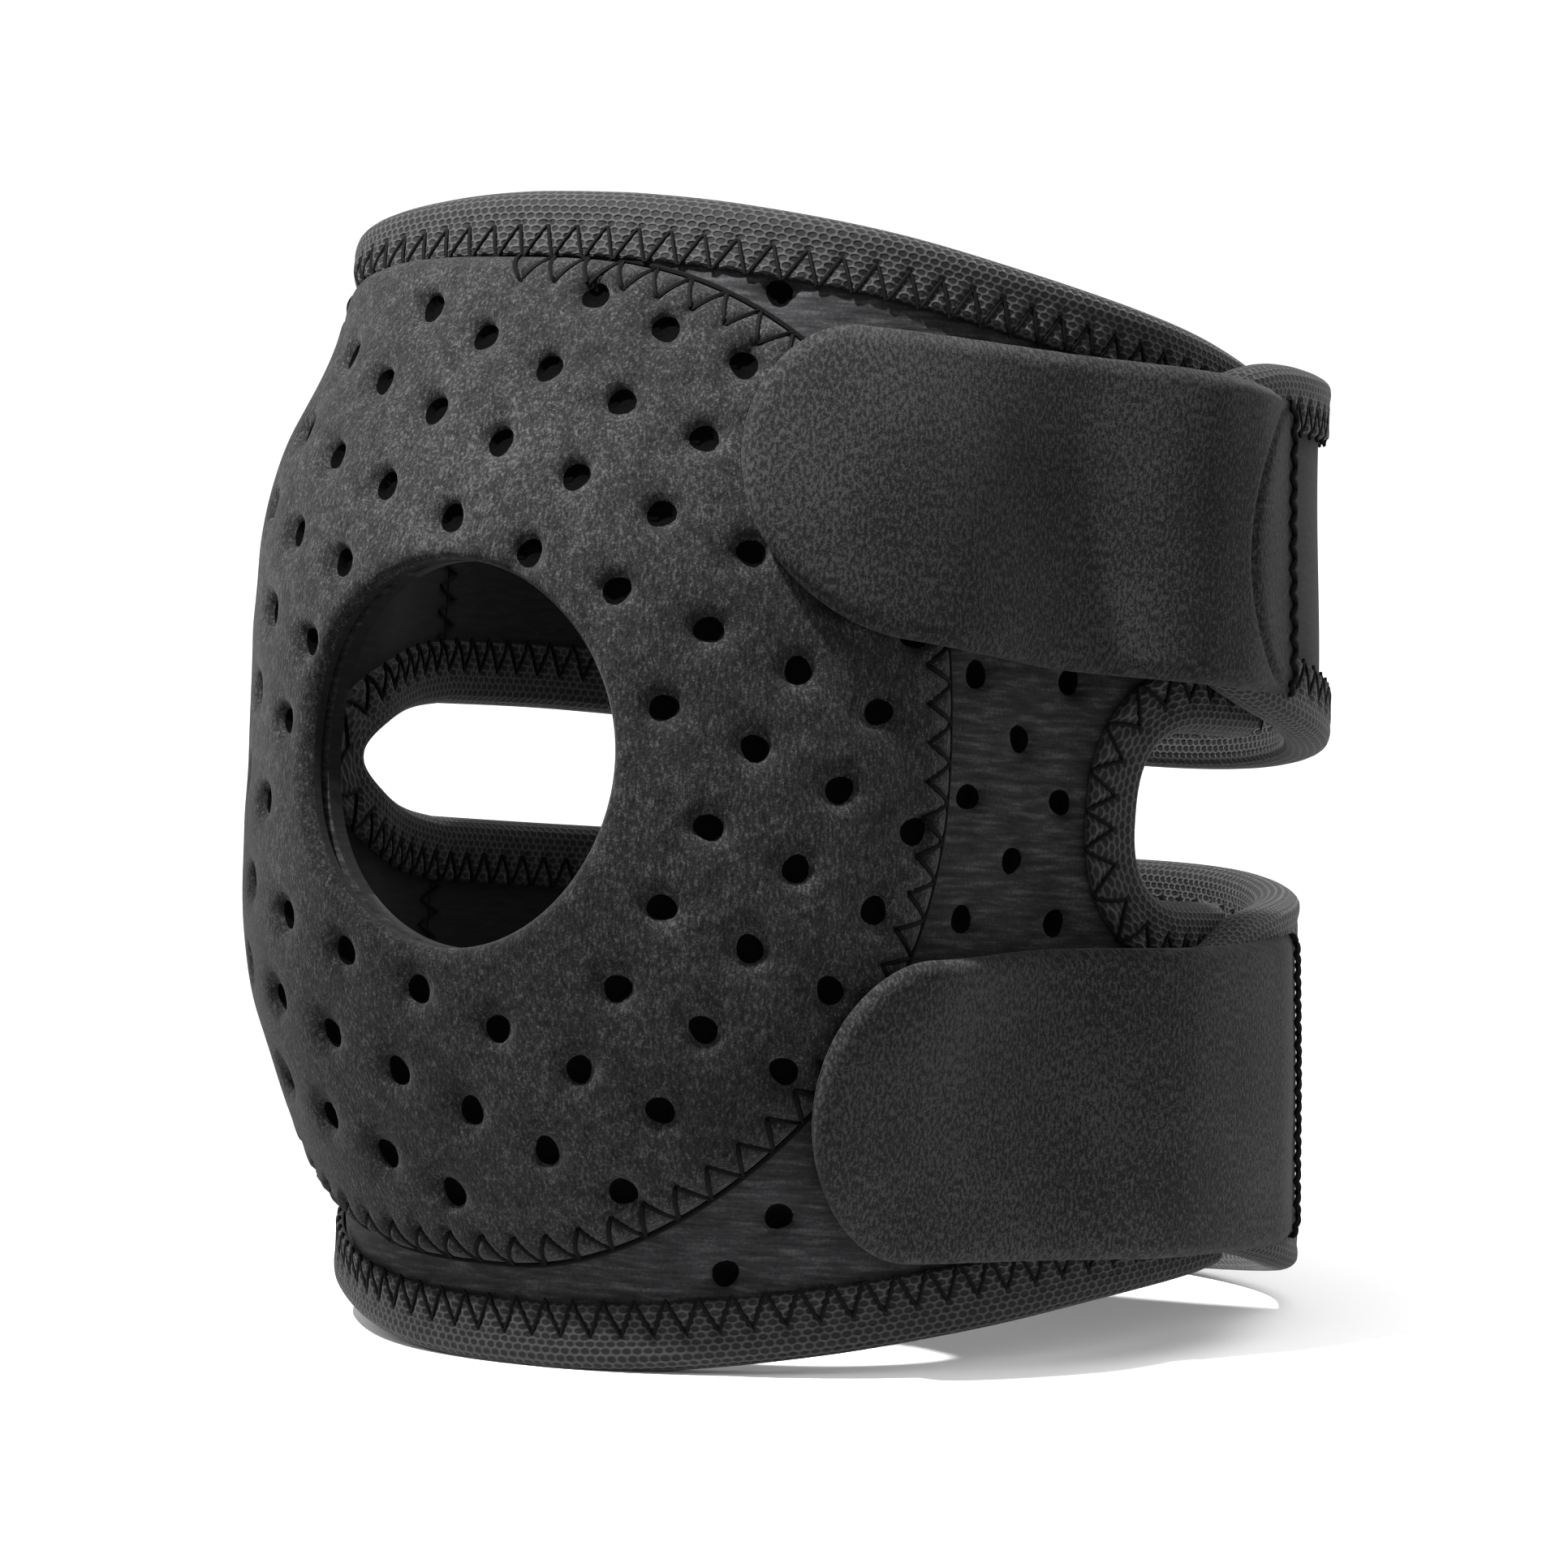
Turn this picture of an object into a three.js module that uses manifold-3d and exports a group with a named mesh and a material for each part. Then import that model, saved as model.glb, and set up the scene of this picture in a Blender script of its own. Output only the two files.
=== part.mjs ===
// Elbow wrap of perforated neoprene, closed round its hollow and standing on its lower hem.
// Millimetres, +Z up, the elbow hole faces -Y. Each piece is worked out in the limb's own
// frame: an angle in degrees round the limb (0 front, 90 right, 180 back), a height along it
// and a radius from its axis. The whole wrap then leans back until its hem meets the floor.
import * as THREE from "three";
import { mergeVertices } from "three/addons/utils/BufferGeometryUtils.js";
import Module from "manifold-3d";

const wasm = await Module();
wasm.setup();

// Cloth
const LIMB_RADIUS = 46.4;
const PANEL_THICK = 2.6;
const PAD_THICK = 2.4;
const PAD_EDGE_THICK = 1.3;
const ARM_THICK = 2.4;
const TAB_THICK = 2.2;
const TAB_EDGE_THICK = 1.4;
const LAYER_GAP = 0.3;
const PAD_GAP = 0.5;

// Binding tape folded over a cloth edge
const TAPE_THICK = 0.7;
const TAPE_LEG = 5.4;
const TAPE_NOSE = 1.6;
const TAPE_ROUND = [
  { out: -0.3, share: 1 },
  { out: 1.05, share: 0.66 },
  { out: 1.6, share: 0 },
];

// Tuck: at the right side each ear, and the arm over it, draws in towards its upper edge
const TUCK_DEPTH = 1.9;
const TUCK_SIDE = { from: 70, full: 100, until: 125, gone: 165 };
const TUCK_LOWER_EAR = { bottom: -48, top: -11.4 };
const TUCK_UPPER_EAR = { bottom: 9.3, top: 48 };

// Cup that the front panel and the pad form over the elbow
const CUP_HALF_ANGLE = 59.3;
const CUP_HALF_HEIGHT = 56.5;
const CUP_HEIGHT = 3.4;
const CUP_RISE = 18.9;
const CUP_SQUARE = 3.3;
const CUP_POWER = 1.95;
const CUP_SOFT = 0.11;

// Front panel: heights of its bound edges, the same at both sides
const PANEL_LEFT = -84;
const PANEL_RIGHT = 100;
const PANEL_COLUMNS = 30;
const PANEL_ROWS = 4;
const PANEL_EDGE = [
  { angle: 0, top: 59.6, bottom: -61.4 },
  { angle: 8, top: 59.5, bottom: -61.3 },
  { angle: 20, top: 58.8, bottom: -60.4 },
  { angle: 38, top: 56.8, bottom: -58.0 },
  { angle: 56, top: 53.8, bottom: -54.8 },
  { angle: 76, top: 50.4, bottom: -51.2 },
  { angle: 100, top: 46.9, bottom: -48.2 },
];

// Elbow hole and pad
const HOLE_RADIUS = 19.6;
const HOLE_HEIGHT = 1.1;
const HOLE_SIDES = 30;
const PAD_HALF_ANGLE = 46.7;
const PAD_TOP = { reach: 50.0, square: 2.4 };
const PAD_BOTTOM = { reach: 51.3, square: 1.95 };
const PAD_RINGS = 5;
const PAD_SEAM_WIDTH = 0.12;
const PAD_OUTLINE_STEPS = 12;

// Perforations
const PERFORATION_RADIUS = 1.4;
const PERFORATION_SIDES = 5;
const PERFORATION_PITCH = 8.8;
const PERFORATION_SPAN = 9;
const PERFORATION_CUT = 8;
const PERFORATION_MARGIN = 1;
const PAD_PERFORATED_UNTIL = 0.92;
const PANEL_PERFORATED_FROM = 1.06;
const BARE_HALF_HEIGHT = 16.4;
const HOLE_MARGIN = 2.2;
const PAD_LATTICE = { turn: -23.2, arc: 20.2, height: 6.9, radius: 58.3, curl: 0.0012, sink: 0.0007 };
const PANEL_LATTICE = { turn: 45, arc: 43.2, height: -0.2, radius: 49.5, curl: -0.0014, sink: 0 };
const PANEL_MIRROR_FROM = 4;

// U notch between the right ears, and the end of the gap between the arms at the left
const NOTCH = { tip: 76.5, height: -1.05, half: 8.75, square: 2.6, steps: 14 };
const WINDOW_END = { centre: 263, reach: 40, height: 0.4, half: 6.5, steps: 20 };
const CUT_INSIDE = 30;
const CUT_OUTSIDE = 90;
const CUT_OVERRUN = 8;

// Arms, from under the tabs at the right, round the back to the left side
const ARM_END = 80;
const ARM_SEAM = 276;
const ARM_COLUMNS = 20;
const ARM_COLUMN_SPREAD = 1.25;
const ARM_ROWS = 2;
const ARM_LIFT = 4.95;
const ARM_LIFT_FROM = 165;
const ARM_LIFT_TO = 120;
const ARM_EDGE = [
  { angle: 80, upperLow: 17.5, upperHigh: 40.5, lowerLow: -41.5, lowerHigh: -19.0 },
  { angle: 84, upperLow: 13.4, upperHigh: 44.8, lowerLow: -44.6, lowerHigh: -15.6 },
  { angle: 90, upperLow: 11.2, upperHigh: 46.4, lowerLow: -45.7, lowerHigh: -13.5 },
  { angle: 98, upperLow: 9.5, upperHigh: 47.1, lowerLow: -46.6, lowerHigh: -10.8 },
  { angle: 116, upperLow: 6.9, upperHigh: 47.0, lowerLow: -48.6, lowerHigh: -8.8 },
  { angle: 145, upperLow: 4.5, upperHigh: 47.4, lowerLow: -50.4, lowerHigh: -6.3 },
  { angle: 180, upperLow: 4.6, upperHigh: 48.2, lowerLow: -51.0, lowerHigh: -6.1 },
  { angle: 215, upperLow: 5.8, upperHigh: 48.8, lowerLow: -50.8, lowerHigh: -6.0 },
  { angle: 250, upperLow: 6.8, upperHigh: 49.1, lowerLow: -50.3, lowerHigh: -6.0 },
  { angle: 276, upperLow: 6.6, upperHigh: 49.2, lowerLow: -50.0, lowerHigh: -5.8 },
];

// Tabs: rounded end, then two edges to the seam on the arm
const TAB_COLUMNS = 12;
const TAB_ROWS = [0, 0.05, 0.28, 0.5, 0.72, 0.95, 1];
const TAB_EDGE_SHARE = 0.01;
const TAB_TIP_BLUNT = 0.15;
const TAB_CLEARANCE = 1.45;
const TAB_PAD_RISE = 1.85;
const TAB_PAD_FADE = 1.3;
const TAB_ARM_RISE = 4.7;
const TAB_ARM_FROM = 60;
const TAB_ARM_TO = 79;
const UPPER_TAB = {
  tip: 24.9,
  seam: 96.5,
  tipHeight: 34,
  roundTop: 10,
  roundBottom: 16,
  edge: [
    { angle: 25, low: 16.4, high: 46.7 },
    { angle: 39, low: 15.4, high: 46.5 },
    { angle: 58, low: 13.5, high: 45.7 },
    { angle: 80, low: 12.8, high: 44.7 },
    { angle: 96.5, low: 12.3, high: 43.2 },
  ],
};
const LOWER_TAB = {
  tip: 34.8,
  seam: 110,
  tipHeight: -33,
  roundTop: 11,
  roundBottom: 12.5,
  edge: [
    { angle: 35, low: -48.4, high: -17.6 },
    { angle: 47, low: -48.0, high: -16.7 },
    { angle: 63, low: -47.1, high: -15.2 },
    { angle: 87, low: -45.8, high: -14.0 },
    { angle: 110, low: -44.8, high: -12.7 },
  ],
};

// Rest: lean of the limb axis, and depth of the flat where the hem meets the floor
const LEAN = 6.2;
const REST_HEIGHT = -55.35;
const FLOOR_HALF = 120;
const FLOOR_DEPTH = 30;

// Finishes
const NEOPRENE = { color: 0x343436, roughness: 0.9, metalness: 0 };
const PAD_CLOTH = { color: 0x4a4a4b, roughness: 0.95, metalness: 0 };
const ARM_CLOTH = { color: 0x2c2c2e, roughness: 0.9, metalness: 0 };
const TAB_CLOTH = { color: 0x3e3e40, roughness: 0.95, metalness: 0 };
const MESH_TAPE = { color: 0x3a3a3c, roughness: 0.8, metalness: 0 };

const DEGREE = Math.PI / 180;

// Shapes shared by the pieces

function smoothstep(from, to, value) {
  const share = Math.min(1, Math.max(0, (value - from) / (to - from)));
  return share * share * (3 - 2 * share);
}

// Reads a column of a table at an angle, on a smooth curve through its rows.
function read(table, column, angle) {
  const last = table.length - 2;
  let k = 0;
  while (k < last && angle > table[k + 1].angle) {
    k += 1;
  }
  const slope = (a, b) => (table[b][column] - table[a][column]) / (table[b].angle - table[a].angle);
  const span = table[k + 1].angle - table[k].angle;
  const t = (angle - table[k].angle) / span;
  const startSlope = slope(Math.max(k - 1, 0), k + 1) * span;
  const endSlope = slope(k, Math.min(k + 2, table.length - 1)) * span;
  const start = table[k][column];
  const end = table[k + 1][column];
  const bend = t * t * (3 - 2 * t);
  return start + (end - start) * bend + startSlope * t * (1 - t) ** 2 - endSlope * t * t * (1 - t);
}

function place(angle, height, radius) {
  const turn = angle * DEGREE;
  return new THREE.Vector3(radius * Math.sin(turn), -radius * Math.cos(turn), height);
}

function degreesFor(arc) {
  return arc / LIMB_RADIUS / DEGREE;
}

// Radius of the limb: round, but drawn in at the right side towards the upper edge of each ear.
function limbRadius(angle, height) {
  const comes = smoothstep(TUCK_SIDE.from, TUCK_SIDE.full, angle);
  const goes = smoothstep(TUCK_SIDE.until, TUCK_SIDE.gone, angle);
  const lower = (height - TUCK_LOWER_EAR.bottom) / (TUCK_LOWER_EAR.top - TUCK_LOWER_EAR.bottom);
  const between = (TUCK_UPPER_EAR.bottom - height) / (TUCK_UPPER_EAR.bottom - TUCK_LOWER_EAR.top);
  const upper = (height - TUCK_UPPER_EAR.bottom) / (TUCK_UPPER_EAR.top - TUCK_UPPER_EAR.bottom);
  const share = Math.max(upper, Math.min(lower, between));
  return LIMB_RADIUS - TUCK_DEPTH * comes * (1 - goes) * share;
}

// Radius of the inner face of the front panel: the limb, and the cup over the elbow.
function panelInner(angle, height) {
  const across = Math.abs(angle) / CUP_HALF_ANGLE;
  const along = Math.abs(height - CUP_HEIGHT) / CUP_HALF_HEIGHT;
  const reach = (across ** CUP_SQUARE + along ** CUP_SQUARE) ** (1 / CUP_SQUARE);
  const rise = CUP_SOFT * Math.log1p(Math.exp((1 - reach ** CUP_POWER) / CUP_SOFT));
  return limbRadius(angle, height) + CUP_RISE * rise;
}

function panelOuter(angle, height) {
  return panelInner(angle, height) + PANEL_THICK;
}

// The arms lie on the limb at the back and climb over the ears at the right.
function armInner(angle, height) {
  const lift = ARM_LIFT * (1 - smoothstep(ARM_LIFT_TO, ARM_LIFT_FROM, angle));
  return limbRadius(angle, height) + lift;
}

function armOuter(angle, height) {
  return armInner(angle, height) + ARM_THICK;
}

// Radius of the arm and, past its seam, of the panel that it is sewn to.
function wrapInner(angle, height) {
  if (angle > ARM_SEAM) {
    return panelInner(angle - 360, height);
  }
  return armInner(angle, height);
}

// 1 on the pad's outline, less inside it and more outside it.
function padReach(angle, height) {
  const above = height >= HOLE_HEIGHT;
  const side = above ? PAD_TOP : PAD_BOTTOM;
  const across = Math.abs(angle) / PAD_HALF_ANGLE;
  const along = Math.abs(height - HOLE_HEIGHT) / side.reach;
  return (across ** side.square + along ** side.square) ** (1 / side.square);
}

// Closed bodies

// Makes a body from points and triangles, with its faces turned outwards.
function body(points, triangles) {
  let volume = 0;
  for (const [a, b, c] of triangles) {
    volume += points[a].dot(new THREE.Vector3().crossVectors(points[b], points[c]));
  }
  const faces = volume < 0 ? triangles.map(([a, b, c]) => [a, c, b]) : triangles;
  return new wasm.Manifold(new wasm.Mesh({
    numProp: 3,
    vertProperties: new Float32Array(points.flatMap((point) => point.toArray())),
    triVerts: new Uint32Array(faces.flat()),
  }));
}

// Joins rings of points into a skin, each ring to the next.
function skin(rings, steps) {
  const size = rings[0].length;
  const triangles = [];
  for (let i = 0; i < steps; i += 1) {
    const here = i * size;
    const there = ((i + 1) % rings.length) * size;
    for (let j = 0; j < size; j += 1) {
      const next = (j + 1) % size;
      triangles.push([here + j, here + next, there + next], [here + j, there + next, there + j]);
    }
  }
  return triangles;
}

// Sweeps a section through rings of points and closes both ends with flat caps.
function sweep(rings, cap) {
  const triangles = skin(rings, rings.length - 1);
  const end = (rings.length - 1) * rings[0].length;
  for (const [a, b, c] of cap) {
    triangles.push([a, c, b], [end + a, end + b, end + c]);
  }
  return body(rings.flat(), triangles);
}

// Sweeps a section through rings of points and back to the first ring.
function loop(rings) {
  return body(rings.flat(), skin(rings, rings.length));
}

// Triangles over a closed outline, turned the same way as the outline runs.
function capOver(outline) {
  const triangles = THREE.ShapeUtils.triangulateShape(outline, []);
  if (THREE.ShapeUtils.isClockWise(outline)) {
    return triangles.map(([a, b, c]) => [a, c, b]);
  }
  return triangles;
}

// A sheet of cloth: one column of heights for each angle, with an inner and an outer radius.
function cloth(angles, heightsAt, inner, outer) {
  const rings = angles.map((angle) => {
    const heights = heightsAt(angle);
    const outside = heights.map((height) => place(angle, height, outer(angle, height)));
    const inside = heights.map((height) => place(angle, height, inner(angle, height)));
    return [...outside, ...inside.reverse()];
  });
  const rows = rings[0].length / 2;
  const cap = [];
  for (let j = 0; j + 1 < rows; j += 1) {
    const far = 2 * rows - 1 - j;
    cap.push([j, j + 1, far - 1], [j, far - 1, far]);
  }
  return sweep(rings, cap);
}

// A block with radial walls over an outline of angles and heights.
function block(outline, inner, outer) {
  const flat = outline.map(([angle, height]) => new THREE.Vector2(angle, height));
  const cap = capOver(flat);
  const near = outline.map(([angle, height]) => place(angle, height, inner));
  const far = outline.map(([angle, height]) => place(angle, height, outer));
  return sweep([near, far], cap);
}

function evenly(from, to, count) {
  return Array.from({ length: count + 1 }, (_, i) => from + (to - from) * i / count);
}

function circle(angle, height, radius, sides, surfaceRadius) {
  const perDegree = surfaceRadius * DEGREE;
  return Array.from({ length: sides }, (_, i) => {
    const turn = 2 * Math.PI * i / sides;
    return [angle + radius * Math.cos(turn) / perDegree, height + radius * Math.sin(turn)];
  });
}

// Angles and heights of a turned square lattice, bent a little as the cloth stretches.
function latticeSpots(lattice) {
  const turn = lattice.turn * DEGREE;
  const steps = evenly(-PERFORATION_SPAN, PERFORATION_SPAN, 2 * PERFORATION_SPAN);
  return steps.flatMap((i) => steps.map((j) => {
    const step = new THREE.Vector2(i, j).multiplyScalar(PERFORATION_PITCH);
    step.rotateAround(new THREE.Vector2(), turn);
    const spread = step.lengthSq();
    const angle = (lattice.arc + step.x - lattice.curl * spread) / lattice.radius / DEGREE;
    return [angle, lattice.height + step.y - lattice.sink * spread];
  }));
}

// Cuts a perforation through a sheet at each spot.
function perforate(sheet, spots) {
  let pierced = sheet;
  for (const [angle, height] of spots) {
    const radius = panelOuter(angle, height);
    const outline = circle(angle, height, PERFORATION_RADIUS, PERFORATION_SIDES, radius);
    pierced = pierced.subtract(block(outline, radius - PERFORATION_CUT, radius + PERFORATION_CUT));
  }
  return pierced;
}

// Binding tape: a U section over a cloth edge. Each station is a point of the edge with its
// direction out of the cloth, across (round the limb) and along (up it).
function tape(stations, inner, clothThick) {
  const half = clothThick / 2;
  const slot = half + LAYER_GAP;
  const face = slot + TAPE_THICK;
  const rounded = TAPE_ROUND.map(({ out, share }) => [out, share * face]);
  const underside = rounded.slice(0, -1).reverse().map(([out, across]) => [out, -across]);
  const section = [
    [-TAPE_LEG, face],
    ...rounded,
    ...underside,
    [-TAPE_LEG, -face],
    [-TAPE_LEG, -slot],
    [LAYER_GAP, -slot],
    [LAYER_GAP, slot],
    [-TAPE_LEG, slot],
  ];
  const outline = section.map(([out, across]) => new THREE.Vector2(out, across));
  const cap = capOver(outline);
  const rings = stations.map(({ angle, height, across, along }) => section.map(([out, depth]) => {
    const at = angle + degreesFor(out * across);
    const up = height + out * along;
    return place(at, up, inner(at, up) + half + depth);
  }));
  return sweep(rings, cap);
}

// Gives each point of an edge its direction out of the cloth, on the left of the path.
function stationsAlong(path) {
  const perDegree = LIMB_RADIUS * DEGREE;
  return path.map(([angle, height], k) => {
    const before = path[Math.max(k - 1, 0)];
    const after = path[Math.min(k + 1, path.length - 1)];
    const run = new THREE.Vector2((after[0] - before[0]) * perDegree, after[1] - before[1]).normalize();
    return { angle, height, across: -run.y, along: run.x };
  });
}

// Front panel

const panelAngles = evenly(PANEL_LEFT, PANEL_RIGHT, PANEL_COLUMNS);

function panelTop(angle) {
  return read(PANEL_EDGE, "top", Math.abs(angle)) - TAPE_NOSE;
}

function panelBottom(angle) {
  return read(PANEL_EDGE, "bottom", Math.abs(angle)) + TAPE_NOSE;
}

// Rows of the panel, closer together towards the tapes, where the cup's rim bends most, and
// one along each edge of the notch.
function panelHeights(angle) {
  const top = panelTop(angle);
  const bottom = panelBottom(angle);
  const shares = evenly(0, 90, PANEL_ROWS).map((turn) => 1 - Math.cos(turn * DEGREE));
  const rowsFrom = (edge, notch) => shares.map((share) => edge + (notch - edge) * share);
  const lower = rowsFrom(bottom + TAPE_LEG, TUCK_LOWER_EAR.top);
  const upper = rowsFrom(top - TAPE_LEG, TUCK_UPPER_EAR.bottom).reverse();
  return [bottom, ...lower, NOTCH.height, ...upper, top];
}

// Cut edge of the notch, from the upper ear's end round the tip to the lower ear's end.
const notchHalf = NOTCH.half + TAPE_NOSE;
const notchTip = NOTCH.tip - degreesFor(TAPE_NOSE);
const notchTurns = evenly(90, 270, NOTCH.steps);
const notchRound = notchTurns.map((turn) => {
  const across = Math.cos(turn * DEGREE);
  const along = Math.sin(turn * DEGREE);
  const bent = (value) => Math.sign(value) * Math.abs(value) ** (2 / NOTCH.square);
  return [notchTip + degreesFor(notchHalf) * (1 + bent(across)), NOTCH.height + notchHalf * bent(along)];
});
const earMiddle = (PANEL_RIGHT + notchRound[0][0]) / 2;
const notchPath = [
  [PANEL_RIGHT, NOTCH.height + notchHalf],
  [earMiddle, NOTCH.height + notchHalf],
  ...notchRound,
  [earMiddle, NOTCH.height - notchHalf],
  [PANEL_RIGHT, NOTCH.height - notchHalf],
];

// Cut edge of the gap's left end, from the upper arm round the tip to the lower arm.
const windowHalf = WINDOW_END.half + TAPE_NOSE;
const windowReach = WINDOW_END.reach + degreesFor(TAPE_NOSE);
const windowStart = Math.acos((ARM_SEAM - WINDOW_END.centre) / windowReach) / DEGREE;
const windowRound = evenly(windowStart, -windowStart, WINDOW_END.steps).map((turn) => [
  WINDOW_END.centre + windowReach * Math.cos(turn * DEGREE),
  WINDOW_END.height + windowHalf * Math.sin(turn * DEGREE),
]);

const holeOutline = circle(0, HOLE_HEIGHT, HOLE_RADIUS, HOLE_SIDES, panelOuter(0, HOLE_HEIGHT) + PAD_THICK);

const notchCut = block(
  [
    [PANEL_RIGHT + CUT_OVERRUN, NOTCH.height + notchHalf],
    ...notchPath,
    [PANEL_RIGHT + CUT_OVERRUN, NOTCH.height - notchHalf],
  ],
  CUT_INSIDE,
  CUT_OUTSIDE,
);
const windowCut = block(
  [
    [ARM_SEAM - CUT_OVERRUN, windowRound[0][1]],
    ...windowRound,
    [ARM_SEAM - CUT_OVERRUN, windowRound[windowRound.length - 1][1]],
  ],
  CUT_INSIDE,
  CUT_OUTSIDE,
);

// The panel is perforated where it shows between the pad, the tabs, the tapes and the notches.
function onBarePanel([angle, height]) {
  const clear = TAPE_LEG + PERFORATION_RADIUS + PERFORATION_MARGIN;
  const inside = height < panelTop(angle) - clear && height > panelBottom(angle) + clear;
  const beforeNotch = angle < notchTip - degreesFor(clear);
  const beforeWindow = angle - WINDOW_END.centre + 360 > windowReach + degreesFor(clear);
  const besideTabs = angle < UPPER_TAB.tip || Math.abs(height) < BARE_HALF_HEIGHT;
  const besidePad = padReach(angle, height) > PANEL_PERFORATED_FROM;
  return inside && beforeNotch && beforeWindow && besideTabs && besidePad;
}

const panelSheet = cloth(panelAngles, panelHeights, panelInner, panelOuter)
  .subtract(block(holeOutline, CUT_INSIDE, CUT_OUTSIDE))
  .subtract(notchCut)
  .subtract(windowCut);
const panelSpots = latticeSpots(PANEL_LATTICE)
  .filter(([angle]) => angle > PANEL_MIRROR_FROM)
  .flatMap(([angle, height]) => [[angle, height], [-angle, height]])
  .filter(onBarePanel);
const frontPanel = perforate(panelSheet, panelSpots);

// Pad: rings from the hole out to the seam, thinner at the seam

function padInner(angle, height) {
  return panelOuter(angle, height) + PAD_GAP;
}

function padOuter(angle, height) {
  const sewn = smoothstep(1 - PAD_SEAM_WIDTH, 1, padReach(angle, height));
  return padInner(angle, height) + PAD_THICK + (PAD_EDGE_THICK - PAD_THICK) * sewn;
}

const padRings = holeOutline.map(([angle, height]) => {
  const across = angle;
  const along = height - HOLE_HEIGHT;
  const full = 1 / padReach(across, height);
  let scale = full;
  for (let k = 0; k < PAD_OUTLINE_STEPS; k += 1) {
    scale /= padReach(across * scale, HOLE_HEIGHT + along * scale);
  }
  const reaches = evenly(0, 1, PAD_RINGS).map((share) => 1 + (scale - 1) * share);
  const spots = reaches.map((reach) => [across * reach, HOLE_HEIGHT + along * reach]);
  const outside = spots.map(([at, up]) => place(at, up, padOuter(at, up)));
  const inside = spots.map(([at, up]) => place(at, up, padInner(at, up)));
  return [...outside, ...inside.reverse()];
});
const padSheet = loop(padRings);

function onPad([angle, height]) {
  const fromHole = Math.hypot(angle * DEGREE * panelOuter(0, HOLE_HEIGHT), height - HOLE_HEIGHT);
  return padReach(angle, height) < PAD_PERFORATED_UNTIL && fromHole > HOLE_RADIUS + HOLE_MARGIN;
}

const elbowPad = perforate(padSheet, latticeSpots(PAD_LATTICE).filter(onPad));

// Arms

const armAngles = evenly(0, 1, ARM_COLUMNS).map((share) => {
  return ARM_END + (ARM_SEAM - ARM_END - degreesFor(LAYER_GAP)) * share ** ARM_COLUMN_SPREAD;
});

function arm(lowColumn, highColumn) {
  const heightsAt = (angle) => {
    const low = read(ARM_EDGE, lowColumn, angle) + TAPE_NOSE;
    const high = read(ARM_EDGE, highColumn, angle) - TAPE_NOSE;
    return evenly(low, high, ARM_ROWS);
  };
  return cloth(armAngles, heightsAt, armInner, armOuter);
}

// Tabs

function tabInner(angle, height) {
  const overPad = TAB_PAD_RISE * (1 - smoothstep(1, TAB_PAD_FADE, padReach(angle, height)));
  const overArm = TAB_ARM_RISE * smoothstep(TAB_ARM_FROM, TAB_ARM_TO, angle);
  return panelOuter(angle, height) + TAB_CLEARANCE + overPad + overArm;
}

function tab(shape) {
  const first = shape.tip + TAB_TIP_BLUNT;
  const angles = evenly(0, 90, TAB_COLUMNS).map((turn) => {
    return first + (shape.seam - first) * (1 - Math.cos(turn * DEGREE));
  });
  const quarter = (distance, round) => Math.sqrt(1 - (1 - Math.min(1, distance / round)) ** 2);
  const edgesAt = (angle) => {
    const from = angle - shape.tip;
    const high = read(shape.edge, "high", angle);
    const low = read(shape.edge, "low", angle);
    return {
      top: shape.tipHeight + (high - shape.tipHeight) * quarter(from, shape.roundTop),
      bottom: shape.tipHeight + (low - shape.tipHeight) * quarter(from, shape.roundBottom),
    };
  };
  const heightsAt = (angle) => {
    const { top, bottom } = edgesAt(angle);
    return TAB_ROWS.map((share) => bottom + (top - bottom) * share);
  };
  const outer = (angle, height) => {
    const { top, bottom } = edgesAt(angle);
    const fromEdge = Math.min(height - bottom, top - height) / (top - bottom);
    const atEdge = fromEdge < TAB_EDGE_SHARE || angle === first;
    return tabInner(angle, height) + (atEdge ? TAB_EDGE_THICK : TAB_THICK);
  };
  return cloth(angles, heightsAt, tabInner, outer);
}

// Tapes

const topTape = tape(
  panelAngles.map((angle) => ({ angle, height: panelTop(angle), across: 0, along: 1 })),
  panelInner,
  PANEL_THICK,
);
const bottomTape = tape(
  panelAngles.map((angle) => ({ angle, height: panelBottom(angle), across: 0, along: -1 })),
  panelInner,
  PANEL_THICK,
);
const notchTape = tape(stationsAlong(notchPath), panelInner, PANEL_THICK);

const tapedAngles = armAngles.slice(1);
const seamBack = [...tapedAngles].reverse();
const windowPath = [
  ...tapedAngles.map((angle) => [angle, read(ARM_EDGE, "upperLow", angle) + TAPE_NOSE]),
  ...windowRound,
  ...seamBack.map((angle) => [angle, read(ARM_EDGE, "lowerHigh", angle) - TAPE_NOSE]),
];
const windowTape = tape(stationsAlong([...windowPath].reverse()), wrapInner, PANEL_THICK);

function armTape(column, side) {
  const stations = tapedAngles.map((angle) => ({
    angle,
    height: read(ARM_EDGE, column, angle) - side * TAPE_NOSE,
    across: 0,
    along: side,
  }));
  return tape(stations, armInner, ARM_THICK);
}

// Floor that flattens the hem where the wrap stands on it, tilted back into the limb's frame
const lean = new THREE.Matrix4().makeRotationX(LEAN * DEGREE);
const floorBox = new THREE.BoxGeometry(2 * FLOOR_HALF, 2 * FLOOR_HALF, FLOOR_DEPTH);
floorBox.translate(0, 0, REST_HEIGHT - FLOOR_DEPTH / 2);
floorBox.applyMatrix4(lean);
floorBox.deleteAttribute("normal");
floorBox.deleteAttribute("uv");
const floorMesh = mergeVertices(floorBox);
const floorBody = new wasm.Manifold(new wasm.Mesh({
  numProp: 3,
  vertProperties: new Float32Array(floorMesh.attributes.position.array),
  triVerts: new Uint32Array(floorMesh.index.array),
}));

// Assembly

const wrap = new THREE.Group();
wrap.name = "elbow_wrap";

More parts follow.
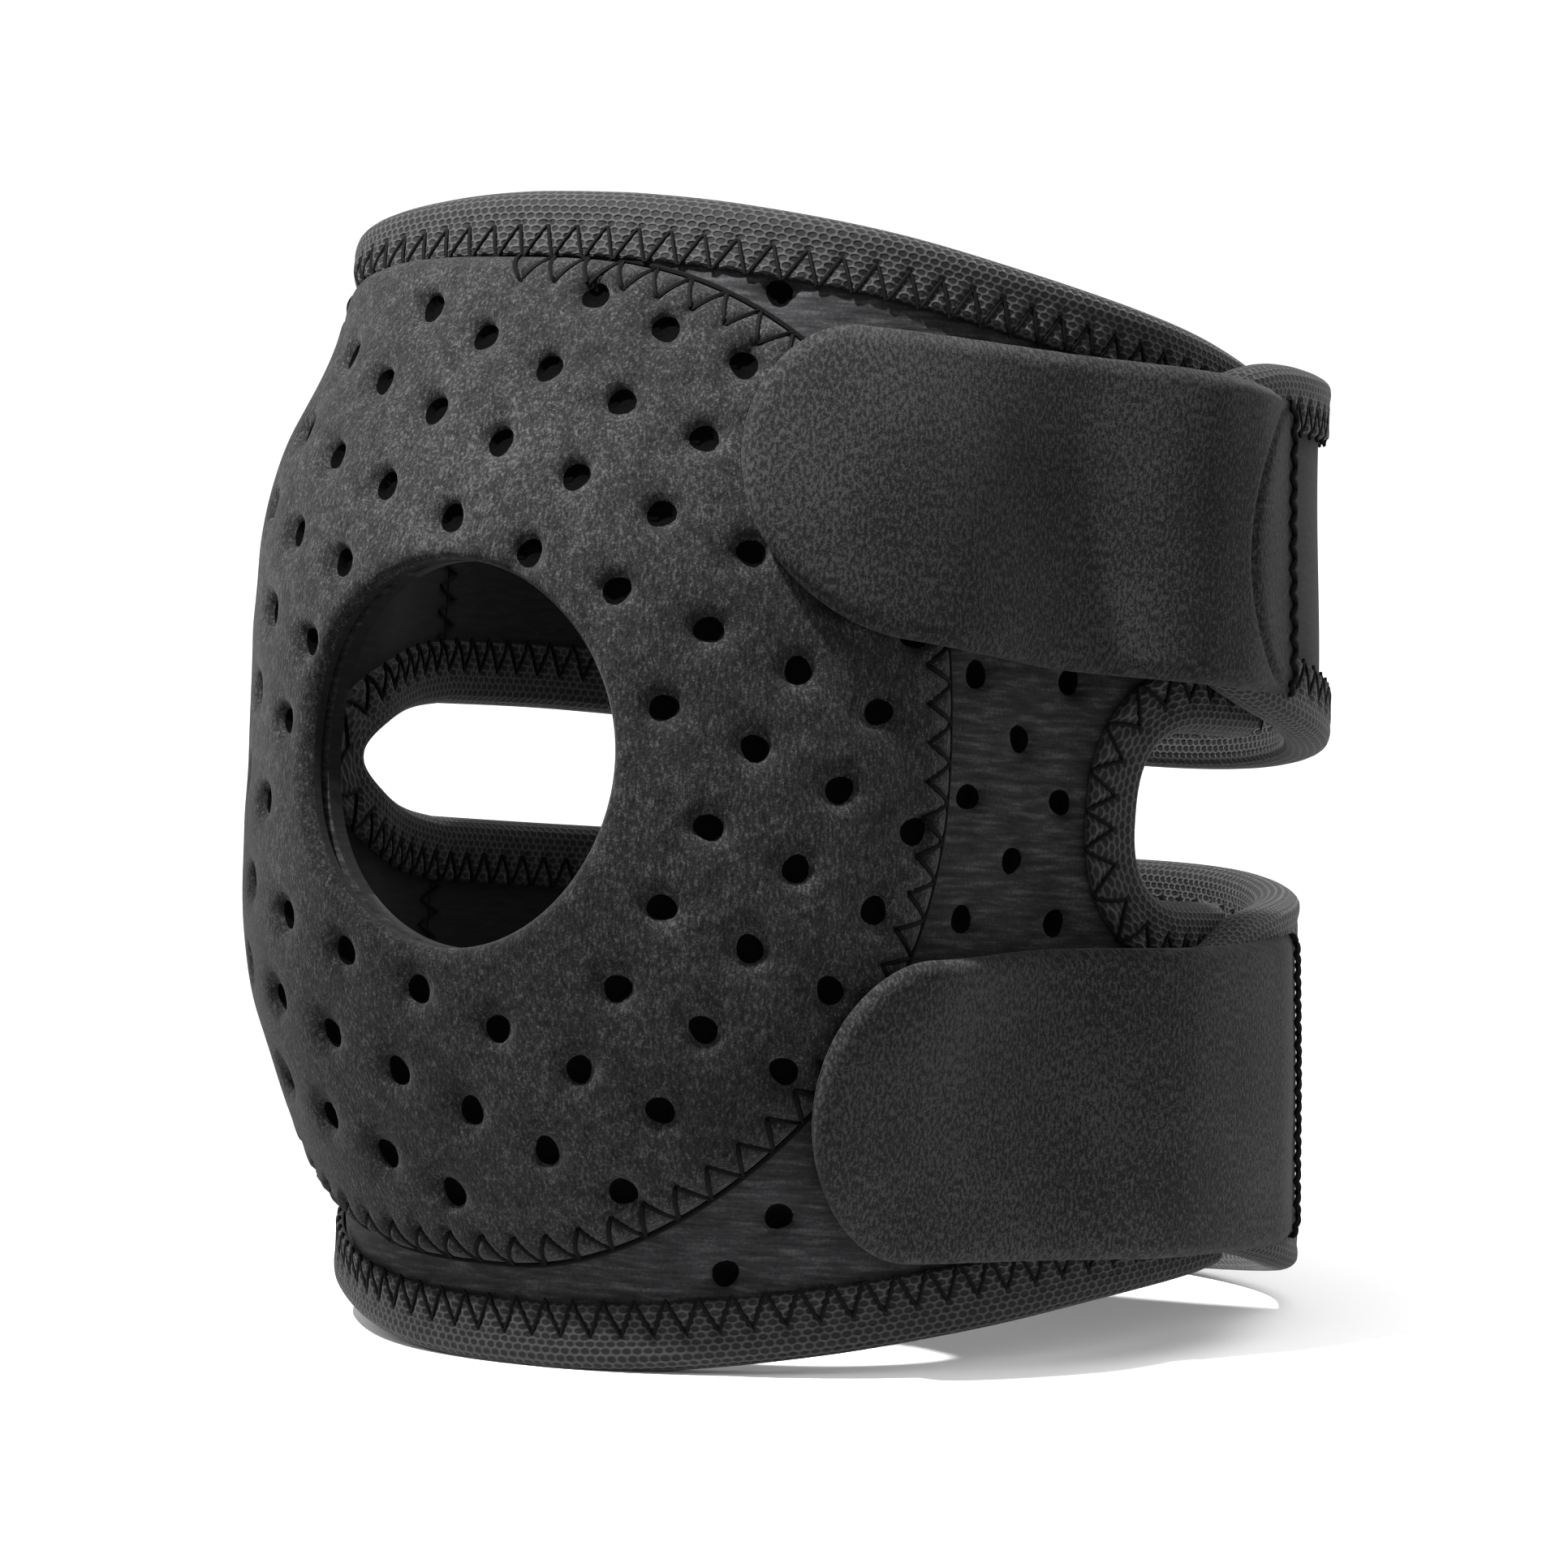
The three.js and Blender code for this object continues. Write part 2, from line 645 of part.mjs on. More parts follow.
function addPiece(name, piece, finish) {
  const mesh = piece.getMesh();
  const geometry = new THREE.BufferGeometry();
  geometry.setAttribute("position", new THREE.BufferAttribute(new Float32Array(mesh.vertProperties), 3));
  geometry.setIndex(new THREE.BufferAttribute(new Uint32Array(mesh.triVerts), 1));
  const material = new THREE.MeshStandardMaterial(finish);
  const shape = new THREE.Mesh(geometry, material);
  shape.name = name;
  wrap.add(shape);
}

addPiece("front_panel", frontPanel, NEOPRENE);
addPiece("elbow_pad", elbowPad, PAD_CLOTH);
addPiece("upper_arm", arm("upperLow", "upperHigh"), ARM_CLOTH);
addPiece("lower_arm", arm("lowerLow", "lowerHigh"), ARM_CLOTH);
addPiece("upper_tab", tab(UPPER_TAB), TAB_CLOTH);
addPiece("lower_tab", tab(LOWER_TAB), TAB_CLOTH);
addPiece("top_tape", topTape, MESH_TAPE);
addPiece("bottom_tape", bottomTape.subtract(floorBody), MESH_TAPE);
addPiece("notch_tape", notchTape, MESH_TAPE);
addPiece("window_tape", windowTape, MESH_TAPE);
addPiece("upper_arm_tape", armTape("upperHigh", 1), MESH_TAPE);
addPiece("lower_arm_tape", armTape("lowerLow", -1).subtract(floorBody), MESH_TAPE);

wrap.rotation.x = -LEAN * DEGREE;
wrap.updateMatrixWorld(true);
const reach = new THREE.Box3().setFromObject(wrap, true);
wrap.position.set(-(reach.min.x + reach.max.x) / 2, -(reach.min.y + reach.max.y) / 2, -reach.min.z);

export default wrap;
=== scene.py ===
# %% [markdown]
# # An elbow wrap of perforated neoprene
# The real wrap is foam cloth cut flat, bound with knitted tape and closed round the arm with two
# tabs. Its imported CAD model has the right places and sizes but flat facets, so each cloth piece is
# made again here as a fine curved skin, in the same frame and in metres. We start by loading the
# imported model, and print the box of the dressed wrap at the end.

import bpy
import numpy as np
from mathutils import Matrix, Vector


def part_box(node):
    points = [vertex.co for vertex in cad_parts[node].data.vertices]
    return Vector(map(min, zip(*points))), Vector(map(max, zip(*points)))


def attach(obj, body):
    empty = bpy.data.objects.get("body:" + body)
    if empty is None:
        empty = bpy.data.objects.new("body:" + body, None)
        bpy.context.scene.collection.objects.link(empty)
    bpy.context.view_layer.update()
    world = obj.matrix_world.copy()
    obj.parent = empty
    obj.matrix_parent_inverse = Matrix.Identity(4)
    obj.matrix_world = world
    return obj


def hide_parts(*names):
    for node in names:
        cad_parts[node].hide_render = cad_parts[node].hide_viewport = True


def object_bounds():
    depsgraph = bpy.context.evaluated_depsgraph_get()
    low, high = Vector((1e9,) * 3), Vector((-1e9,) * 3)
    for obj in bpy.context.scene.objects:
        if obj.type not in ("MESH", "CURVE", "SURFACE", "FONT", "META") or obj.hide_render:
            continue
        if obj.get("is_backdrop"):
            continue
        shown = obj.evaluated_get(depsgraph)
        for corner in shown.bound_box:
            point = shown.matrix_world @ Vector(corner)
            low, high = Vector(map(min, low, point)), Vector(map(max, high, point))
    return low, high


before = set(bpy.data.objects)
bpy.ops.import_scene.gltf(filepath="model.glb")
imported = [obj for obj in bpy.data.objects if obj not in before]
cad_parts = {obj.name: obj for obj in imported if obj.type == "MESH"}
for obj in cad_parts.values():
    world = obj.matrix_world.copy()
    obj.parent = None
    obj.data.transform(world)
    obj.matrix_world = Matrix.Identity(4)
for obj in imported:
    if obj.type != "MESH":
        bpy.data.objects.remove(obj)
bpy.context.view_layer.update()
MM = 0.001

# %% [markdown]
# The wrap is easiest to describe round the limb that it is worn on: an angle in degrees (0 at the
# front, 90 at the right, 180 at the back), a height along the limb and a radius from its axis, in
# millimetres. One function then puts such points on the floor, where the wrap leans back a little
# on its hem. Working in these three numbers keeps every later formula short.

# %% From the limb's own numbers to points in metres
LEAN = np.radians(6.2)
AXIS_BACK, AXIS_UP = 0.0075, 0.05535
pad_low, pad_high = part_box("elbow_pad")
LIMB_ORIGIN = np.array([(pad_low.x + pad_high.x) / 2, AXIS_BACK, AXIS_UP])


def place(angle, height, radius):
    """Points in metres: x = r sin(angle), y = -r cos(angle), z = height, leaned back about X."""
    turn = np.radians(angle)
    x = radius * np.sin(turn)
    y = -radius * np.cos(turn)
    leaned_y = y * np.cos(LEAN) + height * np.sin(LEAN)
    leaned_z = height * np.cos(LEAN) - y * np.sin(LEAN)
    return np.stack([x, leaned_y, leaned_z], axis=-1) * MM + LIMB_ORIGIN


print("limb axis passes through", np.round(LIMB_ORIGIN / MM, 1), "mm")

# %% [markdown]
# Cloth has few sharp turns. Most forms here are sums of two simple things: smooth steps from one value
# to another, and smooth curves through a short table of measured heights. Curve objects could be drawn
# by hand instead, but a function can be asked for its value at any point, and for a whole array at once.

# %% Smooth steps, and curves through tables
def smoothstep(start, end, value):
    """0 before start, 1 after end, and a smooth S curve between them."""
    share = np.clip((value - start) / (end - start), 0, 1)
    return share * share * (3 - 2 * share)


def band(edges, value):
    """Four edges: 0 outside them, 1 between the middle two, and a smooth step up and down beside."""
    return smoothstep(edges[0], edges[1], value) * (1 - smoothstep(edges[2], edges[3], value))


def read_table(table, column, at, key="angle"):
    """A smooth curve through a column's rows: cubic, with each row's slope across its neighbours."""
    x = np.array(table[key], float)
    y = np.array(table[column], float)
    rows = np.arange(len(x))
    before, after = np.maximum(rows - 1, 0), np.minimum(rows + 1, len(x) - 1)
    slope = (y[after] - y[before]) / (x[after] - x[before])
    k = np.clip(np.searchsorted(x, at) - 1, 0, len(x) - 2)
    span = x[k + 1] - x[k]
    t = (at - x[k]) / span
    level = y[k] + (y[k + 1] - y[k]) * t * t * (3 - 2 * t)
    return level + span * (slope[k] * t * (1 - t) ** 2 - slope[k + 1] * t * t * (1 - t))


print("a smooth step passes", float(smoothstep(0, 1, np.array(0.5))), "half way")

# %% [markdown]
# Under the cloth lies a round limb with three small departures. At the right side the ears of the
# panel draw in towards their upper edges. At the left side the upper hem lies a little further out
# and the lower hem further in, with a short neck under the upper one. A low ripple keeps the cloth
# from looking turned on a lathe. These could be sculpted by hand, but as sums of smooth steps and
# waves they serve every layer that lies on the limb.

# %% Radius of the limb
LIMB_RADIUS = 46.4
LOWER_EAR, UPPER_EAR = (-48, -11.4), (9.3, 48)
TUCK_DEPTH, TUCK_SIDE = 1.9, (70, 100, 125, 165)
HEM_SIDE = (-84, -62, -42, -14)
HEM_SHIFT = {
    "height": [-64, -50, -36, -22, 24, 33, 41, 47, 52, 64],
    "shift": [-1.9, -1.9, -1.3, 0.0, 0.0, -0.5, -1.9, -1.1, 1.6, 1.8],
}
RIPPLE_HEIGHT = 0.13
# Each wave: how many go round the limb, the millimetres of height per radian, and its start.
RIPPLE_WAVES = [(3, 9.0, 0.7), (2, -6.1, 0.0), (7, -13.0, 2.1)]


def ripple(angle, height):
    """Three slow sine waves over angle and height, which meet again after a full turn."""
    turn = np.radians(angle)
    return RIPPLE_HEIGHT * sum(np.sin(count * turn + height / drop + start)
                               for count, drop, start in RIPPLE_WAVES)


def limb_radius(angle, height):
    """A circle, less the tuck that grows up each ear, plus the shift of the left hems and the ripple."""
    lower = (height - LOWER_EAR[0]) / (LOWER_EAR[1] - LOWER_EAR[0])
    between = (UPPER_EAR[0] - height) / (UPPER_EAR[0] - LOWER_EAR[1])
    upper = (height - UPPER_EAR[0]) / (UPPER_EAR[1] - UPPER_EAR[0])
    drawn_in = TUCK_DEPTH * band(TUCK_SIDE, angle) * np.maximum(upper, np.minimum(lower, between))
    shifted = band(HEM_SIDE, angle) * read_table(HEM_SHIFT, "shift", height, "height")
    return LIMB_RADIUS - drawn_in + shifted + ripple(angle, height)


print("limb radius at the back:", round(float(limb_radius(np.array(180.0), np.array(0.0))), 1), "mm")

# %% [markdown]
# The front panel lies on the limb and swells into a cup over the elbow. The cup is a soft dome: one
# minus a squared-off distance from its middle, with its rim rounded by a logarithm so that it melts
# into the cylinder. A sphere cut into the cylinder would leave a crease there.

# %% Cup of the front panel
PANEL_THICK = 2.6
CUP_HALF_ANGLE, CUP_HALF_HEIGHT, CUP_HEIGHT = 59.3, 56.5, 3.4
CUP_RISE, CUP_SQUARE, CUP_POWER, CUP_SOFT = 18.9, 3.3, 1.95, 0.11
HOLE_HEIGHT = 1.1


def panel_inner(angle, height):
    """Limb radius plus the cup: rise times a softened (1 - reach ^ power)."""
    across = np.abs(angle) / CUP_HALF_ANGLE
    along = np.abs(height - CUP_HEIGHT) / CUP_HALF_HEIGHT
    reach = (across ** CUP_SQUARE + along ** CUP_SQUARE) ** (1 / CUP_SQUARE)
    rise = CUP_SOFT * np.log1p(np.exp((1 - reach ** CUP_POWER) / CUP_SOFT))
    return limb_radius(angle, height) + CUP_RISE * rise


def panel_outer(angle, height):
    """The panel's inner radius plus its thickness."""
    return panel_inner(angle, height) + PANEL_THICK


hole_spot = np.array([0.0]), np.array([HOLE_HEIGHT])
print("panel radius at the elbow:", round(float(panel_outer(*hole_spot)[0]), 1), "mm")

# %% [markdown]
# A sheet of cloth is two skins, an outer and an inner one, joined by a rim along every open edge.
# Solidify could add the second skin, but we know both radii exactly, so numpy makes both at once:
# the rim is found from the edges that only one face uses. Binding and thread are tubes instead, a
# closed profile carried along a path.

# %% Faces of grids, tubes and two-skinned cloth
def grid_faces(rows, columns, closed=False):
    """Quads between neighbours of a grid numbered row by row; closed joins last column to first."""
    i = np.arange(rows - 1)[:, None]
    j = np.arange(columns if closed else columns - 1)[None, :]
    k = (j + 1) % columns
    corners = (i * columns + j, i * columns + k, (i + 1) * columns + k, (i + 1) * columns + j)
    return np.stack(np.broadcast_arrays(*corners), axis=-1).reshape(-1, 4)


def tube_faces(rows, columns, first=0, flipped=False):
    """Quads round a tube whose points are numbered from first, and one face over each of its ends."""
    order = -1 if flipped else 1
    quads = first + grid_faces(rows, columns, closed=True)
    ring = first + np.arange(columns)
    ends = ring[::-1], ring + (rows - 1) * columns
    return quads[:, ::order].tolist() + [end[::order].tolist() for end in ends]


def two_skins(outer, inner, faces, uv, sunk_faces=False):
    """Both skins and the rim between them; also each face's kind: 0 face, 1 lining, 2 sunk hole."""
    used, packed = np.unique(faces, return_inverse=True)
    faces = packed.reshape(-1, 4)
    count = len(used)
    start = faces.ravel()
    end = np.roll(faces, -1, axis=1).ravel()
    is_open = ~np.isin(start * count + end, end * count + start)
    a, b = start[is_open], end[is_open]
    rim = np.stack([b, a, a + count, b + count], axis=-1)
    points = np.concatenate([outer[used], inner[used]])
    all_faces = np.concatenate([faces, faces[:, ::-1] + count, rim])
    kind = np.ones(len(all_faces), dtype=np.int32)
    kind[:len(faces)] = np.where(sunk_faces, 2, 0)
    return points, all_faces, np.concatenate([uv[used], uv[used]]), kind


print("a grid of 3 by 4 points has", len(grid_faces(3, 4)), "quads, a tube", len(tube_faces(3, 4)), "faces")

# %% [markdown]
# One helper turns such arrays into a mesh object. The object stays at the origin, rides on the packed
# body and takes the place of its CAD node. Shading is smooth, but edges sharper than a limit stay
# crisp. A second helper makes a cloth piece from angles, heights and two radii. Its UV map holds
# millimetres round and along the limb, so that a knit can follow the cloth.

# %% Arrays to objects
SHARP_EDGE = np.radians(55)


def make_piece(name, points, faces, uv, materials, nodes=(), kind=None):
    """A mesh object at the origin that rides on the root body and stands for the named nodes."""
    mesh = bpy.data.meshes.new(name)
    mesh.from_pydata(points.tolist(), [], faces if isinstance(faces, list) else faces.tolist())
    corner_points = np.zeros(len(mesh.loops), dtype=np.int32)
    mesh.loops.foreach_get("vertex_index", corner_points)
    layer = mesh.uv_layers.new(name="cloth")
    layer.data.foreach_set("uv", uv[corner_points].astype(np.float32).ravel())
    mesh.shade_smooth()
    mesh.set_sharp_from_angle(angle=SHARP_EDGE)
    for material in materials:
        mesh.materials.append(material)
    if kind is not None:
        mesh.polygons.foreach_set("material_index", kind)
    mesh.update()
    piece = bpy.data.objects.new(name, mesh)
    bpy.context.scene.collection.objects.link(piece)
    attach(piece, "root")
    if nodes:
        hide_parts(*nodes)
    print(name, len(points), "points,", len(mesh.polygons), "faces")
    return piece


def make_cloth(name, angle, height, radii, faces, materials, node, sunk_faces=False):
    """Cloth between an outer and an inner radius; materials for face, lining and holes, or for all."""
    outer, inner = (place(angle, height, radius) for radius in radii)
    uv = np.stack([np.radians(angle) * LIMB_RADIUS, height], axis=-1)
    points, faces, uv, kind = two_skins(outer, inner, faces, uv, sunk_faces)
    kind = kind if len(materials) > 1 else None
    return make_piece(name, points, faces, uv, materials, [node], kind)


print("edges stay crisp from", round(np.degrees(SHARP_EDGE)), "degrees")

# %% [markdown]
# All the cloths are black, but no two look alike: the pad is brushed loop cloth with a mottled
# nap, the tabs are ribbed loop cloth, the panel and arms are jersey on foam, and the binding is a
# knitted mesh. Photographed black cloth is dark grey, so colours are picked as sRGB hex values and
# turned to the linear numbers that shaders want. Patterns are sized in millimetres of the real cloth.

# %% Colours and sizes for materials
def linear(code):
    """An sRGB hex colour as linear red, green, blue and alpha."""
    share = np.array([int(code[k:k + 2], 16) for k in (1, 3, 5)]) / 255
    low = share / 12.92
    high = ((share + 0.055) / 1.055) ** 2.4
    return (*np.where(share <= 0.04045, low, high).tolist(), 1.0)


def per_mm(size):
    """Noise scale on Object coordinates, which are metres, for features of this many millimetres."""
    return 1 / (size * MM)


print("the nap's grey #1b1b1b reflects", round(100 * linear("#1b1b1b")[0], 1), "per cent of the light")

# %% [markdown]
# A material is a small graph of nodes, which could be wired by hand in the shader editor. In code, one
# helper adds a node with its settings and links, so that each finish reads like a recipe from top to
# bottom.

# %% Nodes for materials
def add_node(tree, kind, inputs, tones=(), **settings):
    """Adds a node; an input given as a socket is linked, and any other value is set.
    Tones are the places and hex colours of a colour ramp, in rising order."""
    node = tree.nodes.new(kind)
    for name, value in settings.items():
        setattr(node, name, value)
    for name, value in inputs.items():
        if isinstance(value, bpy.types.NodeSocket):
            tree.links.new(value, node.inputs[name])
        else:
            node.inputs[name].default_value = value
    for position, _ in tones[1:-1]:
        node.color_ramp.elements.new(position)
    for k, (position, code) in enumerate(tones):
        node.color_ramp.elements[k].position = position
        node.color_ramp.elements[k].color = linear(code)
    return node


def start_material(name):
    """A new material with an empty tree, and a node that gives Object and UV coordinates."""
    material = bpy.data.materials.new(name)
    material.use_nodes = True
    tree = material.node_tree
    tree.nodes.clear()
    return material, tree, add_node(tree, "ShaderNodeTexCoord", {})


print("materials before the first cloth:", len(bpy.data.materials))



# %% [markdown]
# Brushed loop cloth is knitted with loose loops that a wire roller then teases into a nap. The eye
# sees grey fibre tips evenly mixed with a darker ground, in clumps of about two millimetres, with
# hardly any shine. Four noises give the colour and the bump: fibres, the lay of the nap, its clumps
# and a slow change of shade. A single noise would look like sandpaper.

# %% Brushed loop cloth for the pad
# A fibre is about 0.02 mm thick, too fine to show, so fibres are drawn 0.24 mm thick.
FIBRE_MM, NAP_LONG_MM, CLUMP_MM, SHADE_MM = 0.24, 0.8, 1.9, 22
NAP_LEAN, NAP_SLIM = (0.25, 0.2, 0.0), (2.6, 2.6, 1.0)
CLUMP_SHARE, SHADE_SHARE, PAD_RELIEF_MM = 0.2, 0.12, 0.35
# Ground, nap and fibre tips, each with its place on the scale of the summed noises.
PAD_TONES = [(0.27, "#090909"), (0.43, "#1b1b1b"), (0.65, "#3f3f40")]

pad_cloth, tree, where = start_material("brushed_loop_cloth")
fibre = add_node(tree, "ShaderNodeTexNoise", {
    "Vector": where.outputs["Object"], "Scale": per_mm(FIBRE_MM), "Detail": 3.0, "Roughness": 0.7})
lay = add_node(tree, "ShaderNodeMapping", {
    "Vector": where.outputs["Object"], "Rotation": NAP_LEAN, "Scale": NAP_SLIM})
nap = add_node(tree, "ShaderNodeTexNoise", {
    "Vector": lay.outputs["Vector"], "Scale": per_mm(NAP_LONG_MM), "Detail": 2.0, "Roughness": 0.6})
clump = add_node(tree, "ShaderNodeTexNoise", {
    "Vector": where.outputs["Object"], "Scale": per_mm(CLUMP_MM), "Detail": 2.0})
shade = add_node(tree, "ShaderNodeTexNoise", {
    "Vector": where.outputs["Object"], "Scale": per_mm(SHADE_MM), "Detail": 1.0})
mixed = add_node(tree, "ShaderNodeMath", {
    0: fibre.outputs["Fac"], 1: nap.outputs["Fac"]}, operation="MULTIPLY")
lifted = add_node(tree, "ShaderNodeMath", {
    0: clump.outputs["Fac"], 1: CLUMP_SHARE, 2: mixed.outputs[0]}, operation="MULTIPLY_ADD")
toned = add_node(tree, "ShaderNodeMath", {
    0: shade.outputs["Fac"], 1: SHADE_SHARE, 2: lifted.outputs[0]}, operation="MULTIPLY_ADD")
colour = add_node(tree, "ShaderNodeValToRGB", {"Fac": toned.outputs[0]}, PAD_TONES)
bump = add_node(tree, "ShaderNodeBump", {
    "Height": toned.outputs[0], "Strength": 0.75, "Distance": PAD_RELIEF_MM * MM})
shader = add_node(tree, "ShaderNodeBsdfPrincipled", {
    "Base Color": colour.outputs["Color"], "Normal": bump.outputs["Normal"], "Roughness": 0.95,
    "Specular IOR Level": 0.06, "Sheen Weight": 0.05, "Sheen Roughness": 0.4})
add_node(tree, "ShaderNodeOutputMaterial", {"Surface": shader.outputs["BSDF"]})
print("made", pad_cloth.name, "with", len(tree.nodes), "nodes")

# %% [markdown]
# The tabs are a firmer loop cloth. Its knitted ribs stand upright across the strap, about a quarter
# of a millimetre apart, and show as fine vertical streaks. The streaks must follow the strap round
# the limb, so they read the piece's own UV map, which holds millimetres along and across it.

# %% Ribbed loop cloth for the tabs
# Each streak is nearly three times as long as it is wide. The fibres are too fine to show, so they
# are drawn 0.2 mm thick.
RIB_MM, RIB_STRETCH = 0.25, 0.36
TAB_FIBRE_MM, TAB_FIBRE_SHARE = 0.2, 0.45
TAB_SHADE_MM, TAB_SHADE_SHARE, TAB_RELIEF_MM = 14, 0.22, 0.25
# Ground, ribs and fibre tips, each with its place on the scale of the summed noises.
TAB_TONES = [(0.62, "#101011"), (0.8, "#151515"), (0.9333, "#2a2a2b")]

tab_cloth, tree, where = start_material("ribbed_loop_cloth")
streak_space = add_node(tree, "ShaderNodeMapping", {
    "Vector": where.outputs["UV"], "Scale": (1 / RIB_MM, RIB_STRETCH / RIB_MM, 1.0)})
streak = add_node(tree, "ShaderNodeTexNoise", {
    "Vector": streak_space.outputs["Vector"], "Scale": 1.0, "Detail": 3.0, "Roughness": 0.65})
fibre = add_node(tree, "ShaderNodeTexNoise", {
    "Vector": where.outputs["Object"], "Scale": per_mm(TAB_FIBRE_MM), "Detail": 2.0})
shade = add_node(tree, "ShaderNodeTexNoise", {
    "Vector": where.outputs["Object"], "Scale": per_mm(TAB_SHADE_MM), "Detail": 2.0})
mixed = add_node(tree, "ShaderNodeMath", {
    0: fibre.outputs["Fac"], 1: TAB_FIBRE_SHARE, 2: streak.outputs["Fac"]}, operation="MULTIPLY_ADD")
toned = add_node(tree, "ShaderNodeMath", {
    0: shade.outputs["Fac"], 1: TAB_SHADE_SHARE, 2: mixed.outputs[0]}, operation="MULTIPLY_ADD")
colour = add_node(tree, "ShaderNodeValToRGB", {"Fac": toned.outputs[0]}, TAB_TONES)
bump = add_node(tree, "ShaderNodeBump", {
    "Height": mixed.outputs[0], "Strength": 0.55, "Distance": TAB_RELIEF_MM * MM})
shader = add_node(tree, "ShaderNodeBsdfPrincipled", {
    "Base Color": colour.outputs["Color"], "Normal": bump.outputs["Normal"], "Roughness": 0.92,
    "Specular IOR Level": 0.06, "Sheen Weight": 0.04, "Sheen Roughness": 0.4})
add_node(tree, "ShaderNodeOutputMaterial", {"Surface": shader.outputs["BSDF"]})
print("made", tab_cloth.name, "with", len(tree.nodes), "nodes")

# %% [markdown]
# The panel and the arms are neoprene foam with a knitted jersey face. The jersey is finer and
# darker than the pad, and its courses run round the limb as faint level streaks. The lining inside
# is the same knit pressed smooth, so it is darker still and has less relief. All three share one
# recipe with different numbers, so a function makes them.

# %% Jersey faces for the panel, the arms and the lining
# A streak along a course is about six times as long as it is wide. The fibres are too fine to show,
# so they are drawn 0.35 mm thick.
COURSE_STRETCH = 0.16
JERSEY_FIBRE_MM, JERSEY_FIBRE_SHARE = 0.35, 0.35
# Ground, courses and fibre tips: their places on the scale of the summed noises, and their colours.
JERSEY_PLACES = (0.5, 0.7, 0.92)
PANEL_GREYS = ("#111112", "#1d1d1e", "#323233")
ARM_GREYS = ("#0f0f10", "#151516", "#1e1e1f")
LINING_GREYS = ("#0c0c0d", "#111112", "#171718")


def jersey(name, greys, course_mm, relief_mm):
    """Noise stretched along the courses, on UV millimetres, plus a share of a fine fibre noise."""
    material, tree, where = start_material(name)
    space = add_node(tree, "ShaderNodeMapping", {
        "Vector": where.outputs["UV"], "Scale": (COURSE_STRETCH / course_mm, 1 / course_mm, 1.0)})
    courses = add_node(tree, "ShaderNodeTexNoise", {
        "Vector": space.outputs["Vector"], "Scale": 1.0, "Detail": 3.0, "Roughness": 0.6})
    fibre = add_node(tree, "ShaderNodeTexNoise", {
        "Vector": where.outputs["Object"], "Scale": per_mm(JERSEY_FIBRE_MM), "Detail": 2.0})
    mixed = add_node(tree, "ShaderNodeMath", {
        0: fibre.outputs["Fac"], 1: JERSEY_FIBRE_SHARE, 2: courses.outputs["Fac"]}, operation="MULTIPLY_ADD")
    tones = list(zip(JERSEY_PLACES, greys))
    colour = add_node(tree, "ShaderNodeValToRGB", {"Fac": mixed.outputs[0]}, tones)
    bump = add_node(tree, "ShaderNodeBump", {
        "Height": mixed.outputs[0], "Strength": 0.5, "Distance": relief_mm * MM})
    shader = add_node(tree, "ShaderNodeBsdfPrincipled", {
        "Base Color": colour.outputs["Color"], "Normal": bump.outputs["Normal"], "Roughness": 0.9,
        "Specular IOR Level": 0.08, "Sheen Weight": 0.03, "Sheen Roughness": 0.4})
    add_node(tree, "ShaderNodeOutputMaterial", {"Surface": shader.outputs["BSDF"]})
    print("made", name, "with", len(tree.nodes), "nodes")
    return material


panel_jersey = jersey("jersey_on_neoprene", PANEL_GREYS, course_mm=0.7, relief_mm=0.25)
arm_jersey = jersey("smooth_jersey_on_neoprene", ARM_GREYS, course_mm=0.5, relief_mm=0.12)
lining = jersey("pressed_jersey_lining", LINING_GREYS, course_mm=0.6, relief_mm=0.06)

# %% [markdown]
# Inside a punched hole the foam core is bare: dark open cells that swallow much of the light. The pits
# here are sunk blind, so a very dark, fully rough material paints in the shade of a deep hole as well as
# the foam's own dark colour, and the holes read as black dots at any angle.

# %% Bare foam and painted shade inside the perforations
# Foam cells are about 0.1 mm wide, too fine to show, so they are drawn three times as wide.
FOAM_CELL_MM = 0.3
# Nearly black: the foam's own dark colour, darkened further as painted shade for the depth of a hole.
FOAM_AND_HOLE_SHADE_TONES = [(0.0, "#020202"), (1.0, "#070707")]

foam_and_hole_shade, tree, where = start_material("cut_foam_and_painted_hole_shade")
cells = add_node(tree, "ShaderNodeTexNoise", {
    "Vector": where.outputs["Object"], "Scale": per_mm(FOAM_CELL_MM), "Detail": 1.0})
colour = add_node(tree, "ShaderNodeValToRGB", {"Fac": cells.outputs["Fac"]}, FOAM_AND_HOLE_SHADE_TONES)
shader = add_node(tree, "ShaderNodeBsdfPrincipled", {
    "Base Color": colour.outputs["Color"], "Roughness": 1.0, "Specular IOR Level": 0.0})
add_node(tree, "ShaderNodeOutputMaterial", {"Surface": shader.outputs["BSDF"]})
print("made", foam_and_hole_shade.name, "with", len(tree.nodes), "nodes")

# %% [markdown]
# The binding is a warp-knitted mesh: rows of six-sided eyelets, each about a millimetre long, between
# grey threads, with the dark cloth showing through. A honeycomb is what is left between points set
# on a staggered grid. On UV millimetres, two such grids of points cover the plane, and the nearest
# point of both gives the eyelet; the threads are where that distance is large.

# %% Knitted mesh for the binding
EYELET_LONG_MM, EYELET_WIDE_MM, EYELET_STRETCH = 1.05, 1.5, 0.72
HALF_CELL = (0.5, 0.5, 0.0)
CELL_MM = (EYELET_LONG_MM * EYELET_STRETCH, EYELET_WIDE_MM, 0.0)
# The thread begins and is whole at these distances from an eyelet's middle, in millimetres.
THREAD_FROM_MM, THREAD_WHOLE_MM = 0.3, 0.5
WEAR_MM, WEAR_SHARE, KNIT_RELIEF_MM = 0.9, 0.16, 0.25
THREAD_GREY, EYELET_DARK = "#2a2a2b", "#060607"

